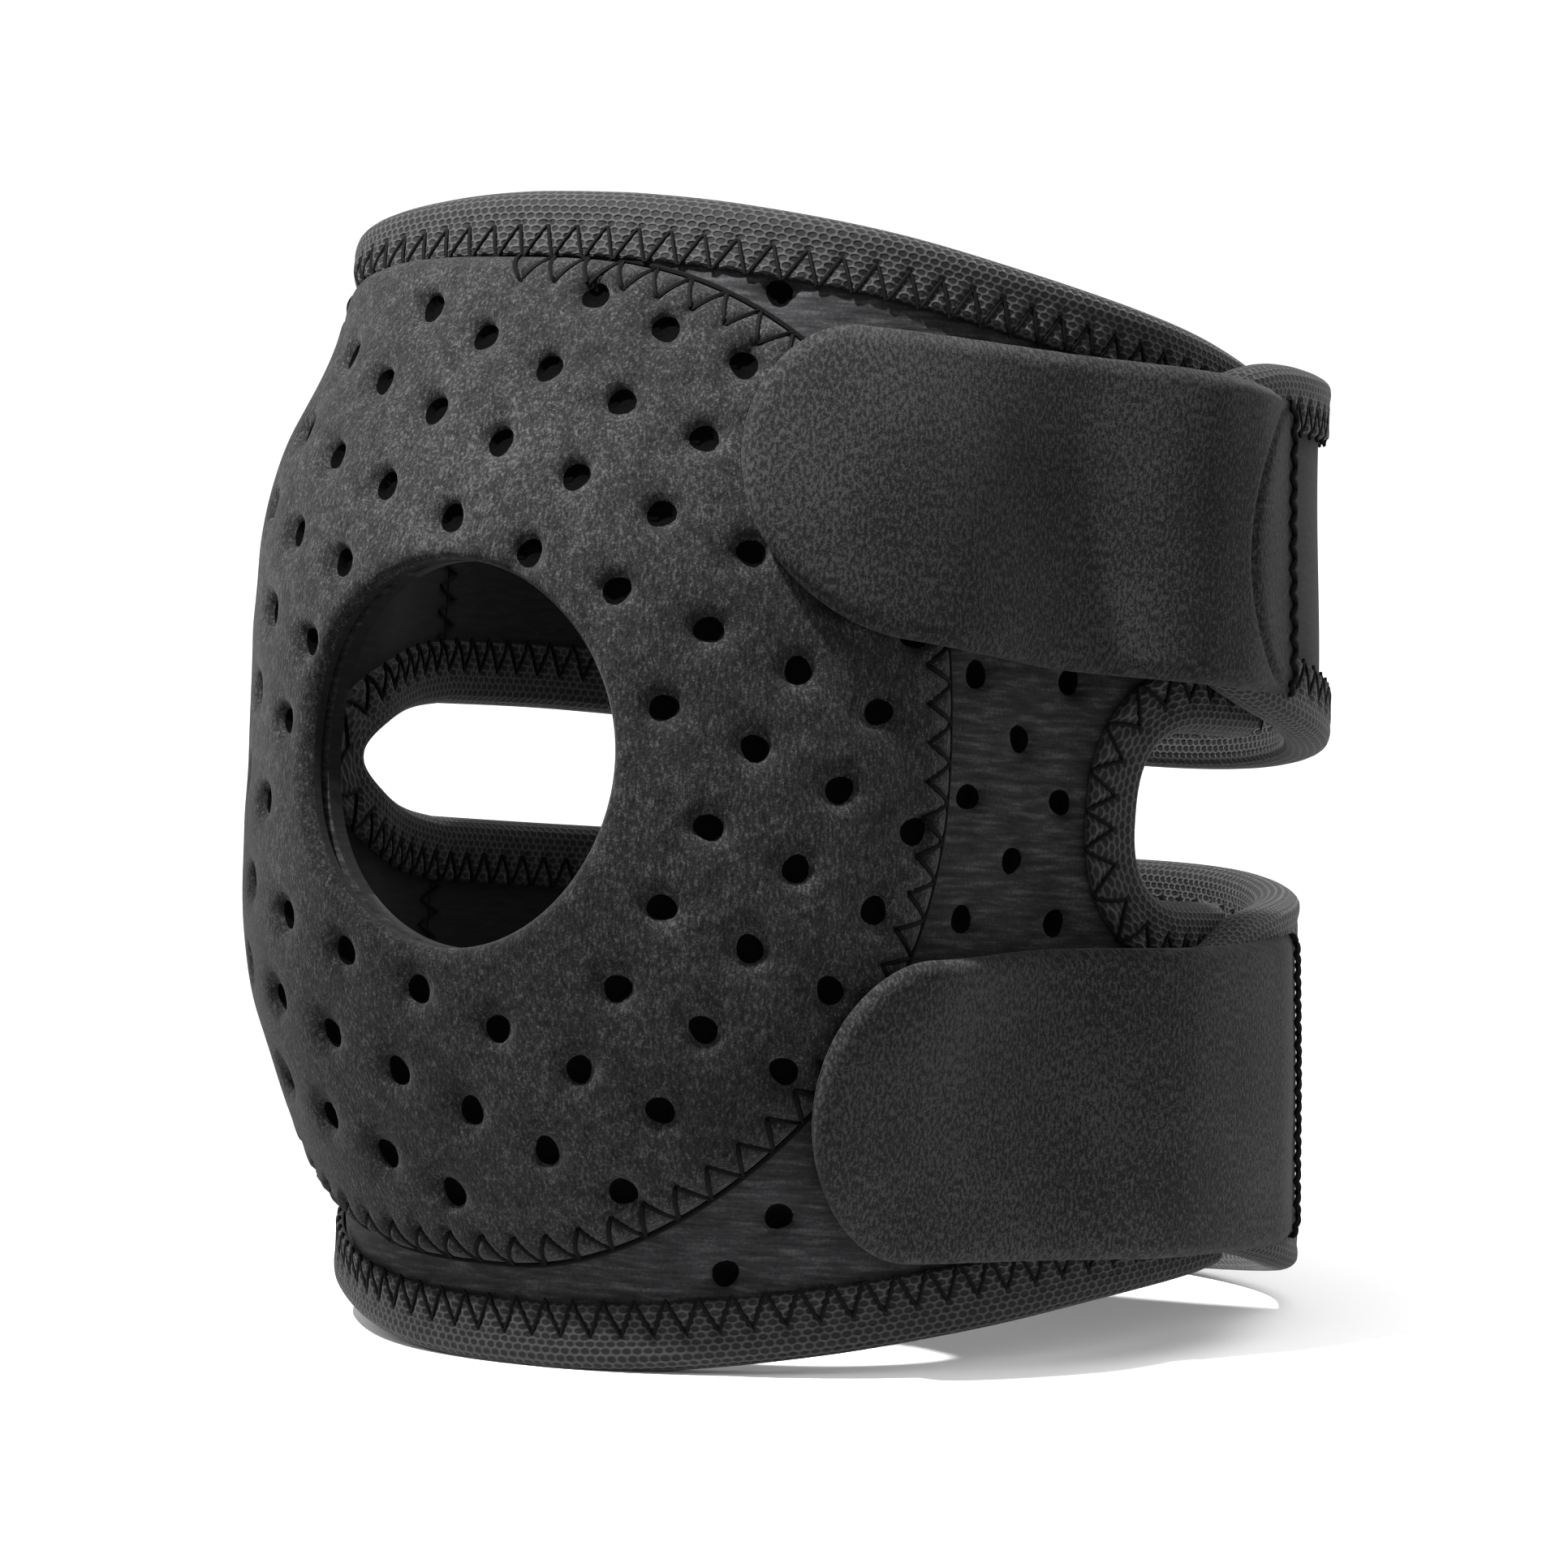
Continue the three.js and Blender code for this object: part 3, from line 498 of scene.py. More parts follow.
mesh_knit, tree, where = start_material("knitted_mesh_tape")
cells = add_node(tree, "ShaderNodeVectorMath", {
    0: where.outputs["UV"], 1: (1 / EYELET_LONG_MM, 1 / EYELET_WIDE_MM, 1.0)}, operation="MULTIPLY")
distances = []
for shift in ((0.0, 0.0, 0.0), HALF_CELL):
    moved = add_node(tree, "ShaderNodeVectorMath", {0: cells.outputs[0], 1: shift}, operation="ADD")
    inside = add_node(tree, "ShaderNodeVectorMath", {0: moved.outputs[0]}, operation="FRACTION")
    centred = add_node(tree, "ShaderNodeVectorMath", {
        0: inside.outputs[0], 1: HALF_CELL}, operation="SUBTRACT")
    real = add_node(tree, "ShaderNodeVectorMath", {
        0: centred.outputs[0], 1: CELL_MM}, operation="MULTIPLY")
    distances.append(add_node(tree, "ShaderNodeVectorMath", {0: real.outputs[0]}, operation="LENGTH"))
nearest = add_node(tree, "ShaderNodeMath", {
    0: distances[0].outputs["Value"], 1: distances[1].outputs["Value"]}, operation="MINIMUM")
uneven = add_node(tree, "ShaderNodeTexNoise", {
    "Vector": where.outputs["Object"], "Scale": per_mm(WEAR_MM), "Detail": 2.0})
worn = add_node(tree, "ShaderNodeMath", {
    0: uneven.outputs["Fac"], 1: WEAR_SHARE, 2: nearest.outputs[0]}, operation="MULTIPLY_ADD")
thread = add_node(tree, "ShaderNodeMapRange", {
    "Value": worn.outputs[0], "From Min": THREAD_FROM_MM, "From Max": THREAD_WHOLE_MM},
    interpolation_type="SMOOTHSTEP")
colour = add_node(tree, "ShaderNodeMix", {
    0: thread.outputs["Result"], 6: linear(EYELET_DARK), 7: linear(THREAD_GREY)}, data_type="RGBA")
bump = add_node(tree, "ShaderNodeBump", {
    "Height": thread.outputs["Result"], "Strength": 0.8, "Distance": KNIT_RELIEF_MM * MM})
shader = add_node(tree, "ShaderNodeBsdfPrincipled", {
    "Base Color": colour.outputs[2], "Normal": bump.outputs["Normal"], "Roughness": 0.75,
    "Specular IOR Level": 0.15, "Sheen Weight": 0.04, "Sheen Roughness": 0.4})
add_node(tree, "ShaderNodeOutputMaterial", {"Surface": shader.outputs["BSDF"]})
print("made", mesh_knit.name, "with", len(tree.nodes), "nodes")

# %% [markdown]
# The seams are sewn with black polyester thread. It is the darkest thing on the face of the wrap, and
# matt, because its filaments are spun and twisted. A fine noise breaks up its colour and its surface,
# as the twist does.

# %% Polyester sewing thread
TWIST_MM, TWIST_RELIEF_MM = 0.3, 0.06
SEWING_TONES = [(0.0, "#030303"), (1.0, "#0a0a0a")]

sewing, tree, where = start_material("polyester_sewing_thread")
twist = add_node(tree, "ShaderNodeTexNoise", {
    "Vector": where.outputs["Object"], "Scale": per_mm(TWIST_MM), "Detail": 1.0})
colour = add_node(tree, "ShaderNodeValToRGB", {"Fac": twist.outputs["Fac"]}, SEWING_TONES)
bump = add_node(tree, "ShaderNodeBump", {
    "Height": twist.outputs["Fac"], "Strength": 0.4, "Distance": TWIST_RELIEF_MM * MM})
shader = add_node(tree, "ShaderNodeBsdfPrincipled", {
    "Base Color": colour.outputs["Color"], "Normal": bump.outputs["Normal"], "Roughness": 0.8,
    "Specular IOR Level": 0.05})
add_node(tree, "ShaderNodeOutputMaterial", {"Surface": shader.outputs["BSDF"]})
print("made", sewing.name, "with", len(tree.nodes), "nodes")

# %% [markdown]
# The perforations are punched with round tools on a square lattice, which the cloth's stretch over
# the cup then bends a little. The lattice is worked out flat, in millimetres, and each spot is then
# laid on the limb as an angle and a height.

# %% Lattices of perforations
PERFORATION_RADIUS, PITCH, SPAN = 1.4, 8.8, 9


def lattice(turn, arc, height, radius, curl, sink):
    """A turned square lattice in millimetres, bent by its squared distance, as angle and height."""
    steps = np.arange(-SPAN, SPAN + 1)
    i, j = [PITCH * k.ravel() for k in np.meshgrid(steps, steps, indexing="ij")]
    c, s = np.cos(np.radians(turn)), np.sin(np.radians(turn))
    x, y = i * c - j * s, i * s + j * c
    spread = x * x + y * y
    return np.degrees((arc + x - curl * spread) / radius), height + y - sink * spread


print("perforations:", 2 * PERFORATION_RADIUS, "mm wide,", PITCH, "mm apart")

# %% [markdown]
# Boolean cuts would leave long thin faces round each hole. Instead, the points of a fine grid along a
# hole's border move on to its circle, which two waves make a little uneven. The faces inside are then
# dropped, or sunk to the lining where that closes the hole. The cloth round a punched hole sinks, so
# each point's distance from the nearest hole is kept.

# %% Punching holes in a grid
# Each wave round a hole: how many lobes, how far it turns from hole to hole, and its weight.
CUT_WAVES = [(2, 1, 1.0), (3, 2, 0.6)]
TINY = 1e-6


def nearest_spot(angle, height, spots, per_degree):
    """Number of the nearest spot, the way to it across and along in millimetres, and its length."""
    x = (angle[:, None] - spots[0]) * per_degree
    y = height[:, None] - spots[1]
    distance = np.hypot(x, y)
    k = distance.argmin(axis=1)
    rows = np.arange(len(k))
    return k, x[rows, k], y[rows, k], distance[rows, k]


def punch(angle, height, faces, spots, per_degree, radius, uneven=0.0):
    """Puts the points nearest each spot's circle on it; returns them, the faces inside and distances.
    Uneven is the share by which the waves round the circle push it in and out."""
    middle = angle[faces].mean(axis=1), height[faces].mean(axis=1)
    inside = nearest_spot(*middle, spots, per_degree)[3] < radius
    border = np.intersect1d(faces[inside], faces[~inside])
    k, x, y, distance = nearest_spot(angle, height, spots, per_degree)
    turn = np.arctan2(y, x)
    wobble = 1 + uneven * sum(weight * np.sin(lobes * turn + step * k) for lobes, step, weight in CUT_WAVES)
    grow = np.ones(len(angle))
    grow[border] = radius * wobble[border] / np.maximum(distance[border], TINY)
    on_border = np.isin(np.arange(len(angle)), border)
    angle = np.where(on_border, spots[0][k] + x * grow / per_degree[k], angle)
    height = np.where(on_border, spots[1][k] + y * grow, height)
    return angle, height, inside, np.where(on_border, radius, distance)


def sink_near(distance, depth, width):
    """How far the cloth sinks at this distance from a hole's edge: depth times exp(-distance / width)."""
    return depth * np.exp(-np.maximum(distance, 0) / width)


print("each hole is cut with", len(CUT_WAVES), "waves round its edge")

# %% [markdown]
# The zigzag seams all use one triangle wave. Where the thread crosses the cloth it pulls a groove,
# and the cloth puffs up between the threads, so the same wave shapes the cloth and lays the thread.
# Each stitch dips at the needle holes and rises between them.

# %% Zigzag stitches
STITCH_ARCH, STITCH_DIP = 0.3, 0.1


def zigzag(run, pitch):
    """A triangle wave from -1 to 1 along the run, one full wave per pitch."""
    return 2 * np.abs(2 * ((run / pitch) % 1) - 1) - 1


def from_zigzag(run, across, pitch, half):
    """Distance from the zigzag line of this half width, measured square to its slanting legs."""
    slant = np.hypot(pitch, 4 * half) / pitch
    return np.abs(across - half * zigzag(run, pitch)) / slant


def stitch_rise(run, pitch):
    """Height of the thread on the cloth: the root of a sine, lowest at both needle holes of a stitch."""
    return STITCH_ARCH * np.sqrt(np.abs(np.sin(2 * np.pi * run / pitch))) - STITCH_DIP


print("a stitch arches over", STITCH_ARCH, "mm")

# %% [markdown]
# The thread itself is a round profile carried along its path. A bevelled curve would do, but here the
# cloth's own outward direction keeps the profile from twisting. All the threads of a seam become one
# object.

# %% Thread along a path
THREAD_SIDES, THREAD_TIP = 6, 0.05


def thread_tube(path, outward, radius):
    """A ring of points round each path point, square to the path, thinned to nothing at both ends."""
    along = np.gradient(path, axis=0)
    along /= np.linalg.norm(along, axis=1, keepdims=True)
    side = np.cross(along, outward)
    side /= np.linalg.norm(side, axis=1, keepdims=True)
    up = np.cross(side, along)
    turn = np.linspace(0, 2 * np.pi, THREAD_SIDES, endpoint=False)
    size = np.full(len(path), radius * MM)
    size[[0, -1]] *= THREAD_TIP
    ring = np.cos(turn)[None, :, None] * side[:, None] + np.sin(turn)[None, :, None] * up[:, None]
    return (path[:, None] + size[:, None, None] * ring).reshape(-1, 3)


def sew(name, runs, thread_radius):
    """One object from several threads, each given as angle, height and radius along its path."""
    tubes, faces, count = [], [], 0
    for angle, height, radius in runs:
        path = place(angle, height, radius)
        outward = path - place(angle, height, radius - 1)
        tubes.append(thread_tube(path, outward, thread_radius))
        faces += tube_faces(len(path), THREAD_SIDES, count)
        count += len(tubes[-1])
    points = np.concatenate(tubes)
    return make_piece(name, points, faces, points[:, :2] / MM, [sewing])


print("a thread has", THREAD_SIDES, "sides")

# %% [markdown]
# The front panel carries everything else. Its hems are neither straight nor round, so they come from a
# short table of heights, read with a smooth curve. The table runs from the front to the right, and the
# left side mirrors it. The cloth stops short of the finished edge by the nose of the binding.

# %% Edges of the front panel
TAPE_NOSE, TAPE_LEG = 1.6, 5.4
PANEL_LEFT, PANEL_RIGHT = -84, 100
PANEL_EDGE = {
    "angle": [0, 8, 20, 38, 56, 76, 100],
    "top": [59.6, 59.5, 58.8, 56.8, 53.8, 50.4, 46.9],
    "bottom": [-61.4, -61.3, -60.4, -58.0, -54.8, -51.2, -48.2],
}


def degrees_for(arc):
    """Angle that an arc of this many millimetres takes on the limb."""
    return np.degrees(arc / LIMB_RADIUS)


def panel_top(angle):
    """Height of the panel's upper cloth edge, inside its tape."""
    return read_table(PANEL_EDGE, "top", np.abs(angle)) - TAPE_NOSE


def panel_bottom(angle):
    """Height of the panel's lower cloth edge, inside its tape."""
    return read_table(PANEL_EDGE, "bottom", np.abs(angle)) + TAPE_NOSE


front_height = panel_top(hole_spot[0]) - panel_bottom(hole_spot[0])
print("cloth of the panel at the front:", round(float(front_height[0]), 1), "mm high")

# %% [markdown]
# Three outlines lie on the panel: the pad that is sewn on it, the U notch at the right and the end of
# the gap between the arms at the left. The first two are superellipses, round shapes whose sides are
# squared off by a power, and the gap ends in an ellipse. A formula says on which side of each a point
# lies, so no curve has to be drawn.

# %% Outlines of the pad, the notch and the gap
PAD_HALF_ANGLE, PAD_UP, PAD_DOWN = 46.7, 51.2, 51.6
# How square the pad's outline is, above and below the middle of the hole.
PAD_SQUARE_RIGHT, PAD_SQUARE_LEFT = (2.4, 1.95), (4.2, 3.1)
NOTCH_TIP, NOTCH_HEIGHT, NOTCH_HALF, NOTCH_SQUARE = 76.5, -1.05, 8.75, 2.6
GAP_CENTRE, GAP_REACH, GAP_HEIGHT, GAP_HALF = 263, 40, 0.4, 6.5
FULL_TURN = 360

notch_half = NOTCH_HALF + TAPE_NOSE
notch_tip = NOTCH_TIP - degrees_for(TAPE_NOSE)
gap_half = GAP_HALF + TAPE_NOSE
gap_reach = GAP_REACH + degrees_for(TAPE_NOSE)


def pad_reach(angle, height):
    """1 on the pad's outline, a superellipse that is squarer above the hole and at the left."""
    above = height >= HOLE_HEIGHT
    square_right, square_left = np.where(above, *PAD_SQUARE_RIGHT), np.where(above, *PAD_SQUARE_LEFT)
    square = np.where(angle > 0, square_right, square_left)
    across = np.abs(angle) / PAD_HALF_ANGLE
    along = np.abs(height - HOLE_HEIGHT) / np.where(above, PAD_UP, PAD_DOWN)
    return (across ** square + along ** square) ** (1 / square)


def in_notch(angle, height):
    """True inside the U notch: a squared-off half round from its tip, then straight edges."""
    wide = degrees_for(notch_half)
    back = np.clip((notch_tip + wide - angle) / wide, 0, 1)
    half = notch_half * (1 - back ** NOTCH_SQUARE) ** (1 / NOTCH_SQUARE)
    return (angle > notch_tip) & (np.abs(height - NOTCH_HEIGHT) < half)


def in_gap(angle, height):
    """True inside the half ellipse that ends the gap between the arms at the left."""
    across = (angle + FULL_TURN - GAP_CENTRE) / gap_reach
    return (angle < 0) & (across ** 2 + ((height - GAP_HEIGHT) / gap_half) ** 2 < 1)


print("notch", round(2 * notch_half, 1), "mm and gap", round(2 * gap_half, 1), "mm wide in the cloth")

# %% [markdown]
# A fine grid is laid over the panel, with rows that follow both hems. Faces in the notch and in the gap
# are dropped. Then the elbow hole is punched, with the same function that the small perforations use.

# %% Grid of the front panel, with its elbow hole
PANEL_COLUMNS, PANEL_ROWS = 236, 176
HOLE_RADIUS, PAD_THICK = 19.6, 2.4

angle, share = np.meshgrid(np.linspace(PANEL_LEFT, PANEL_RIGHT, PANEL_COLUMNS),
                           np.linspace(0, 1, PANEL_ROWS))
height = panel_bottom(angle) + share * (panel_top(angle) - panel_bottom(angle))
angle, height = angle.ravel(), height.ravel()
faces = grid_faces(PANEL_ROWS, PANEL_COLUMNS)
middle = angle[faces].mean(axis=1), height[faces].mean(axis=1)
faces = faces[~in_notch(*middle) & ~in_gap(*middle)]

hole_per_degree = np.radians(panel_outer(*hole_spot) + PAD_THICK)
angle, height, inside, from_hole = punch(angle, height, faces, hole_spot, hole_per_degree, HOLE_RADIUS)
faces = faces[~inside]
print("faces of the panel round its openings:", len(faces))

# %% [markdown]
# The panel's own perforations show only where the pad and the tapes leave it bare. Their lattice stands
# on its corner, and the left side mirrors the right. The lining closes these holes, so their faces
# aren't dropped but sunk to the lining and given the nearly black foam, which paints in the shade of a deep
# hole.

# %% Perforations and skins of the front panel
PANEL_LATTICE = {"turn": 45, "arc": 43.2, "height": -0.2, "radius": 49.5, "curl": -0.0014, "sink": 0}
MIRROR_FROM, PUNCH_CLEAR, PAD_MARGIN = 4, 0.8, 1.045
CUT_UNEVEN, LINING_THICK = 0.07, 0.4
# Depth and width of the dip round a perforation and at the rim of the elbow hole, in millimetres.
PANEL_DIP, RIM_DIP = (0.9, 0.6), (0.5, 0.6)

spot_angle, spot_height = lattice(**PANEL_LATTICE)
right = spot_angle > MIRROR_FROM
spot_angle = np.concatenate([spot_angle[right], -spot_angle[right]])
spot_height = np.concatenate([spot_height[right], spot_height[right]])
clear = TAPE_LEG + PUNCH_CLEAR
bare = (spot_height < panel_top(spot_angle) - clear) & (spot_height > panel_bottom(spot_angle) + clear)
bare &= spot_angle < notch_tip - degrees_for(clear)
bare &= spot_angle - GAP_CENTRE + FULL_TURN > gap_reach + degrees_for(clear)
bare &= pad_reach(spot_angle, spot_height) > PAD_MARGIN
spots = spot_angle[bare], spot_height[bare]
angle, height, inside, from_spot = punch(
    angle, height, faces, spots, np.radians(panel_outer(*spots)), PERFORATION_RADIUS, CUT_UNEVEN)
sunk = np.setdiff1d(faces[inside], faces[~inside])

rim_dip = sink_near(from_hole - HOLE_RADIUS, *RIM_DIP)
inner_radius = panel_inner(angle, height)
outer_radius = panel_outer(angle, height) - sink_near(from_spot - PERFORATION_RADIUS, *PANEL_DIP) - rim_dip
outer_radius[sunk] = inner_radius[sunk] + LINING_THICK
# Sunk faces take the foam material: painted shade that makes the blind pits read as black holes.
front_panel = make_cloth("front_panel_cloth", angle, height, (outer_radius, inner_radius + rim_dip), faces,
                         [panel_jersey, lining, foam_and_hole_shade], "front_panel", inside)
print("perforations in the panel:", len(spots[0]))

# %% [markdown]
# The pad is a second layer sewn on the front of the panel. Its grid is polar: spokes run from the
# elbow hole to the sewn outline, so that both edges are exact. First the outline is found along each
# spoke, by scaling the hole's edge until it lies on the superellipse. The length of the seam then gives
# a stitch that comes out whole.

# %% Seam line of the pad
PAD_SPOKES, OUTLINE_ROUNDS = 690, 12
SEAM_PITCH = 4.0


def pad_outline(turn):
    """Hole edge at this turn, and how many times further out the sewn outline lies."""
    across = HOLE_RADIUS * np.cos(turn) / hole_per_degree
    along = HOLE_RADIUS * np.sin(turn)
    scale = 1 / pad_reach(across, HOLE_HEIGHT + along)
    for _ in range(OUTLINE_ROUNDS):
        scale = scale / pad_reach(across * scale, HOLE_HEIGHT + along * scale)
    return across, along, scale


def seam_frame(turn):
    """Outline points, millimetres per degree there, the direction along the seam and its steps."""
    across, along, scale = pad_outline(turn)
    edge_angle, edge_height = across * scale, HOLE_HEIGHT + along * scale
    per_degree = np.radians(panel_outer(edge_angle, edge_height))
    step_x, step_y = np.gradient(edge_angle) * per_degree, np.gradient(edge_height)
    size = np.hypot(step_x, step_y)
    return edge_angle, edge_height, per_degree, step_x / size, step_y / size, size


turn = np.linspace(0, 2 * np.pi, PAD_SPOKES + 1)
edge_angle, edge_height, per_degree, seam_x, seam_y, step = seam_frame(turn)
seam_run = np.concatenate([[0], np.cumsum((step[1:] + step[:-1]) / 2)])
seam_length = seam_run[-1]
stitches = round(seam_length / SEAM_PITCH)
seam_pitch = seam_length / stitches
print("seam of the pad:", round(seam_length), "mm,", stitches, "stitches")

# %% [markdown]
# Rings of points fill the pad between hole and outline, closer together at both edges, where the cloth
# bends most. For every point we keep how far along the seam it lies, and how far from the seam and from
# the hole. The pad's perforations follow a lattice of their own, which leaves both edges whole.

# %% Grid and perforations of the pad
PAD_RINGS, RING_CROWDING = 60, 0.28
PAD_LATTICE = {"turn": -23.2, "arc": 20.2, "height": 6.9, "radius": 58.3, "curl": 0.0012, "sink": 0.0007}
PAD_INSET, RIM_CLEAR = 0.93, 2.2


def crowd(count, crowding):
    """Steps from 0 to 1 that crowd towards both ends: an even share plus a cosine share."""
    even = np.linspace(0, 1, count)
    return (1 - crowding) * even + crowding * (1 - np.cos(np.pi * even)) / 2


across, along, scale = pad_outline(turn[:-1])
reach = 1 + (scale - 1)[None, :] * crowd(PAD_RINGS, RING_CROWDING)[:, None]
angle = across * reach
height = HOLE_HEIGHT + along * reach
inward_x = (edge_angle[:-1] - angle) * per_degree[:-1]
inward_y = edge_height[:-1] - height
run = (seam_run[:-1] - inward_x * seam_x[:-1] - inward_y * seam_y[:-1]).ravel()
from_seam = (inward_x * seam_y[:-1] - inward_y * seam_x[:-1]).ravel()
from_hole = ((reach - 1) * HOLE_RADIUS).ravel()
angle, height = angle.ravel(), height.ravel()
faces = grid_faces(PAD_RINGS, PAD_SPOKES, closed=True)[:, ::-1]

spots = lattice(**PAD_LATTICE)
hole_way = np.hypot(np.radians(spots[0]) * panel_outer(*hole_spot), spots[1] - HOLE_HEIGHT)
on_pad = (pad_reach(*spots) < PAD_INSET) & (hole_way > HOLE_RADIUS + RIM_CLEAR)
spots = spots[0][on_pad], spots[1][on_pad]
angle, height, inside, from_spot = punch(
    angle, height, faces, spots, np.radians(panel_outer(*spots)), PERFORATION_RADIUS, CUT_UNEVEN)
sunk = np.setdiff1d(faces[inside], faces[~inside])
print("perforations in the pad:", len(spots[0]))

# %% [markdown]
# Four small functions shape the pad's edges. A bell curve gives grooves and puffs, and a quarter circle
# gives rolled edges. At the upper left the pad runs under the tape and has no stitches of its own. All
# round its outline the edge is drawn down, so the gap between pad and panel nearly closes there.

# %% Edges of the pad
TUCKED_TURNS, TUCKED_FADE = np.radians([96, 131]), 2
PAD_GAP, SEWN_CLOSE, SEWN_WIDE = 0.5, 0.38, 3

tucked_from, tucked_to = np.interp(TUCKED_TURNS, turn, seam_run)


def bell(value, width):
    """A bell curve, exp(-(value / width) ^ 2): 1 at zero, and nearly 0 past twice the width."""
    return np.exp(-(value / width) ** 2)


def quarter_round(distance, radius):
    """A quarter circle: 0 at the edge, 1 from this radius inwards."""
    return np.sqrt(1 - (1 - np.clip(distance / radius, 0, 1)) ** 2)


def sewn_edge(run):
    """1 along the stitched seam, and 0 at the upper left, where the pad runs under the tape."""
    return 1 - band((tucked_from - TUCKED_FADE, tucked_from, tucked_to, tucked_to + TUCKED_FADE), run)


def pad_base(from_seam):
    """Gap under the pad: full inside, and less in a smooth step towards its drawn-down edge."""
    return PAD_GAP - SEWN_CLOSE * (1 - smoothstep(0, SEWN_WIDE, from_seam))


print("the pad runs under the tape for", round(tucked_to - tucked_from), "mm")

# %% [markdown]
# The pad's face rolls over into the hole, thins towards the seam, and puffs up between the zigzag
# stitches that hold its edge down. Sculpting could give the look, but one sum of bells, quarter circles
# and smooth steps also tells the thread where the face lies.

# %% Face of the pad
SEAM_HALF, SEAM_MIDDLE = 1.45, 1.25
EDGE_ROLL, EDGE_THICK, HOLE_ROLL, HOLE_DROP = 3.0, 0.95, 1.9, 1.5
GROOVE_DEEP, GROOVE_WIDE, GROOVE_END = 0.75, 0.42, (3.0, 4.0)
NEEDLE_DEEP, NEEDLE_WIDE = 1.1, 0.6
PUFF_HIGH, PUFF_IN, PUFF_WIDE = 0.4, 1.0, 1.1


def pad_face(angle, height, run, from_seam, from_hole):
    """Outer radius: full thickness, rolled at the hole, thin at the seam, grooved by the stitches."""
    thick = EDGE_THICK + (PAD_THICK - EDGE_THICK) * quarter_round(from_seam, EDGE_ROLL)
    thick = thick - HOLE_DROP * (1 - quarter_round(from_hole, HOLE_ROLL))
    groove = bell(from_zigzag(run, from_seam - SEAM_MIDDLE, seam_pitch, SEAM_HALF), GROOVE_WIDE)
    groove = GROOVE_DEEP * groove * (1 - smoothstep(*GROOVE_END, from_seam))
    half_stitch = seam_pitch / 2
    from_middle = (run / seam_pitch - 0.5 - np.round(run / seam_pitch - 0.5)) * seam_pitch
    needle = sum(bell(np.hypot(from_middle + end, from_seam - SEAM_MIDDLE - SEAM_HALF), NEEDLE_WIDE)
                 for end in (-half_stitch, half_stitch))
    puff = PUFF_HIGH * bell(from_seam - PUFF_IN, PUFF_WIDE)
    thick = thick + puff - np.maximum(groove, NEEDLE_DEEP * needle) * sewn_edge(run)
    return panel_outer(angle, height) + pad_base(from_seam) + thick


outer_radius = pad_face(angle, height, run, from_seam, from_hole)
print("the pad reaches", round(float(outer_radius.max()), 1), "mm from the limb's axis")

# %% [markdown]
# The pad's perforations don't go through either: each is sunk to the pad's own backing and given the
# nearly black foam, which paints in the shade of a deep hole. The cloth dips round them a little deeper
# than on the panel, because the pad is softer.

# %% Skins of the pad
PAD_DIP = (1.1, 0.7)

outer_radius -= sink_near(from_spot - PERFORATION_RADIUS, *PAD_DIP)
inner_radius = panel_outer(angle, height) + pad_base(from_seam)
outer_radius[sunk] = inner_radius[sunk] + LINING_THICK
# Sunk faces again take the foam material: painted shade inside each blind pit.
elbow_pad = make_cloth("elbow_pad_cloth", angle, height, (outer_radius, inner_radius), faces,
                       [pad_cloth, lining, foam_and_hole_shade], "elbow_pad", inside)

# %% [markdown]
# Two threads hold the pad. The zigzag crosses its edge, and a straight one lies in the corner between
# the edge and the panel. Both follow the seam line that was measured above, and start and end where the
# tape covers the pad. The zigzag lies on the same face that it grooves.

# %% Thread of the pad's seam
STITCH_POINTS, PAD_THREAD = 16, 0.27
EDGE_THREAD_OUT, EDGE_THREAD_UP = 0.3, 0.15

run = np.linspace(tucked_to, tucked_from + seam_length, int(seam_length / seam_pitch) * STITCH_POINTS)
edge_turn = np.interp(run % seam_length, seam_run, turn) + 2 * np.pi * (run >= seam_length)
edge_angle, edge_height, per_degree, seam_x, seam_y, _ = seam_frame(edge_turn)
inwards = SEAM_MIDDLE + SEAM_HALF * zigzag(run, seam_pitch)
angle = edge_angle - inwards * seam_y / per_degree
height = edge_height + inwards * seam_x
face = pad_face(angle, height, run % seam_length, inwards, np.full(len(run), HOLE_RADIUS))
face = np.maximum(face, panel_outer(angle, height))
zigzag_thread = angle, height, face + stitch_rise(run, seam_pitch)
edge_out = edge_angle + EDGE_THREAD_OUT * seam_y / per_degree, edge_height - EDGE_THREAD_OUT * seam_x
edge_thread = *edge_out, panel_outer(*edge_out) + EDGE_THREAD_UP
sew("pad_seam_thread", [zigzag_thread, edge_thread], PAD_THREAD)

# %% [markdown]
# Two arms run from the left side round the back and over the panel's ears at the right. They lie on
# the limb at the back and climb five millimetres to pass over the ears. A table gives the heights
# of their edges; the cloth itself stops short of those by the nose of the binding.

# %% Arms
ARM_THICK, ARM_LIFT, LIFT_FADE = 2.4, 4.95, (120, 165)
ARM_END, ARM_SEAM, SEAM_GAP = 80, 276, 0.3
ARM_EDGE = {
    "angle": [80, 84, 90, 98, 116, 145, 180, 215, 250, 276],
    "upper_low": [17.5, 13.4, 11.2, 9.5, 6.9, 4.5, 4.6, 5.8, 6.8, 6.6],
    "upper_high": [40.5, 44.8, 46.4, 47.1, 47.0, 47.4, 48.2, 48.8, 49.1, 49.2],
    "lower_low": [-41.5, -44.6, -45.7, -46.6, -48.6, -50.4, -51.0, -50.8, -50.3, -50.0],
    "lower_high": [-19.0, -15.6, -13.5, -10.8, -8.8, -6.3, -6.1, -6.0, -6.0, -5.8],
}
ARM_COLUMNS, ARM_ROWS = 240, 36


def arm_inner(angle, height):
    """Limb radius plus the lift over the ears, which fades out towards the back."""
    return limb_radius(angle, height) + ARM_LIFT * (1 - smoothstep(*LIFT_FADE, angle))


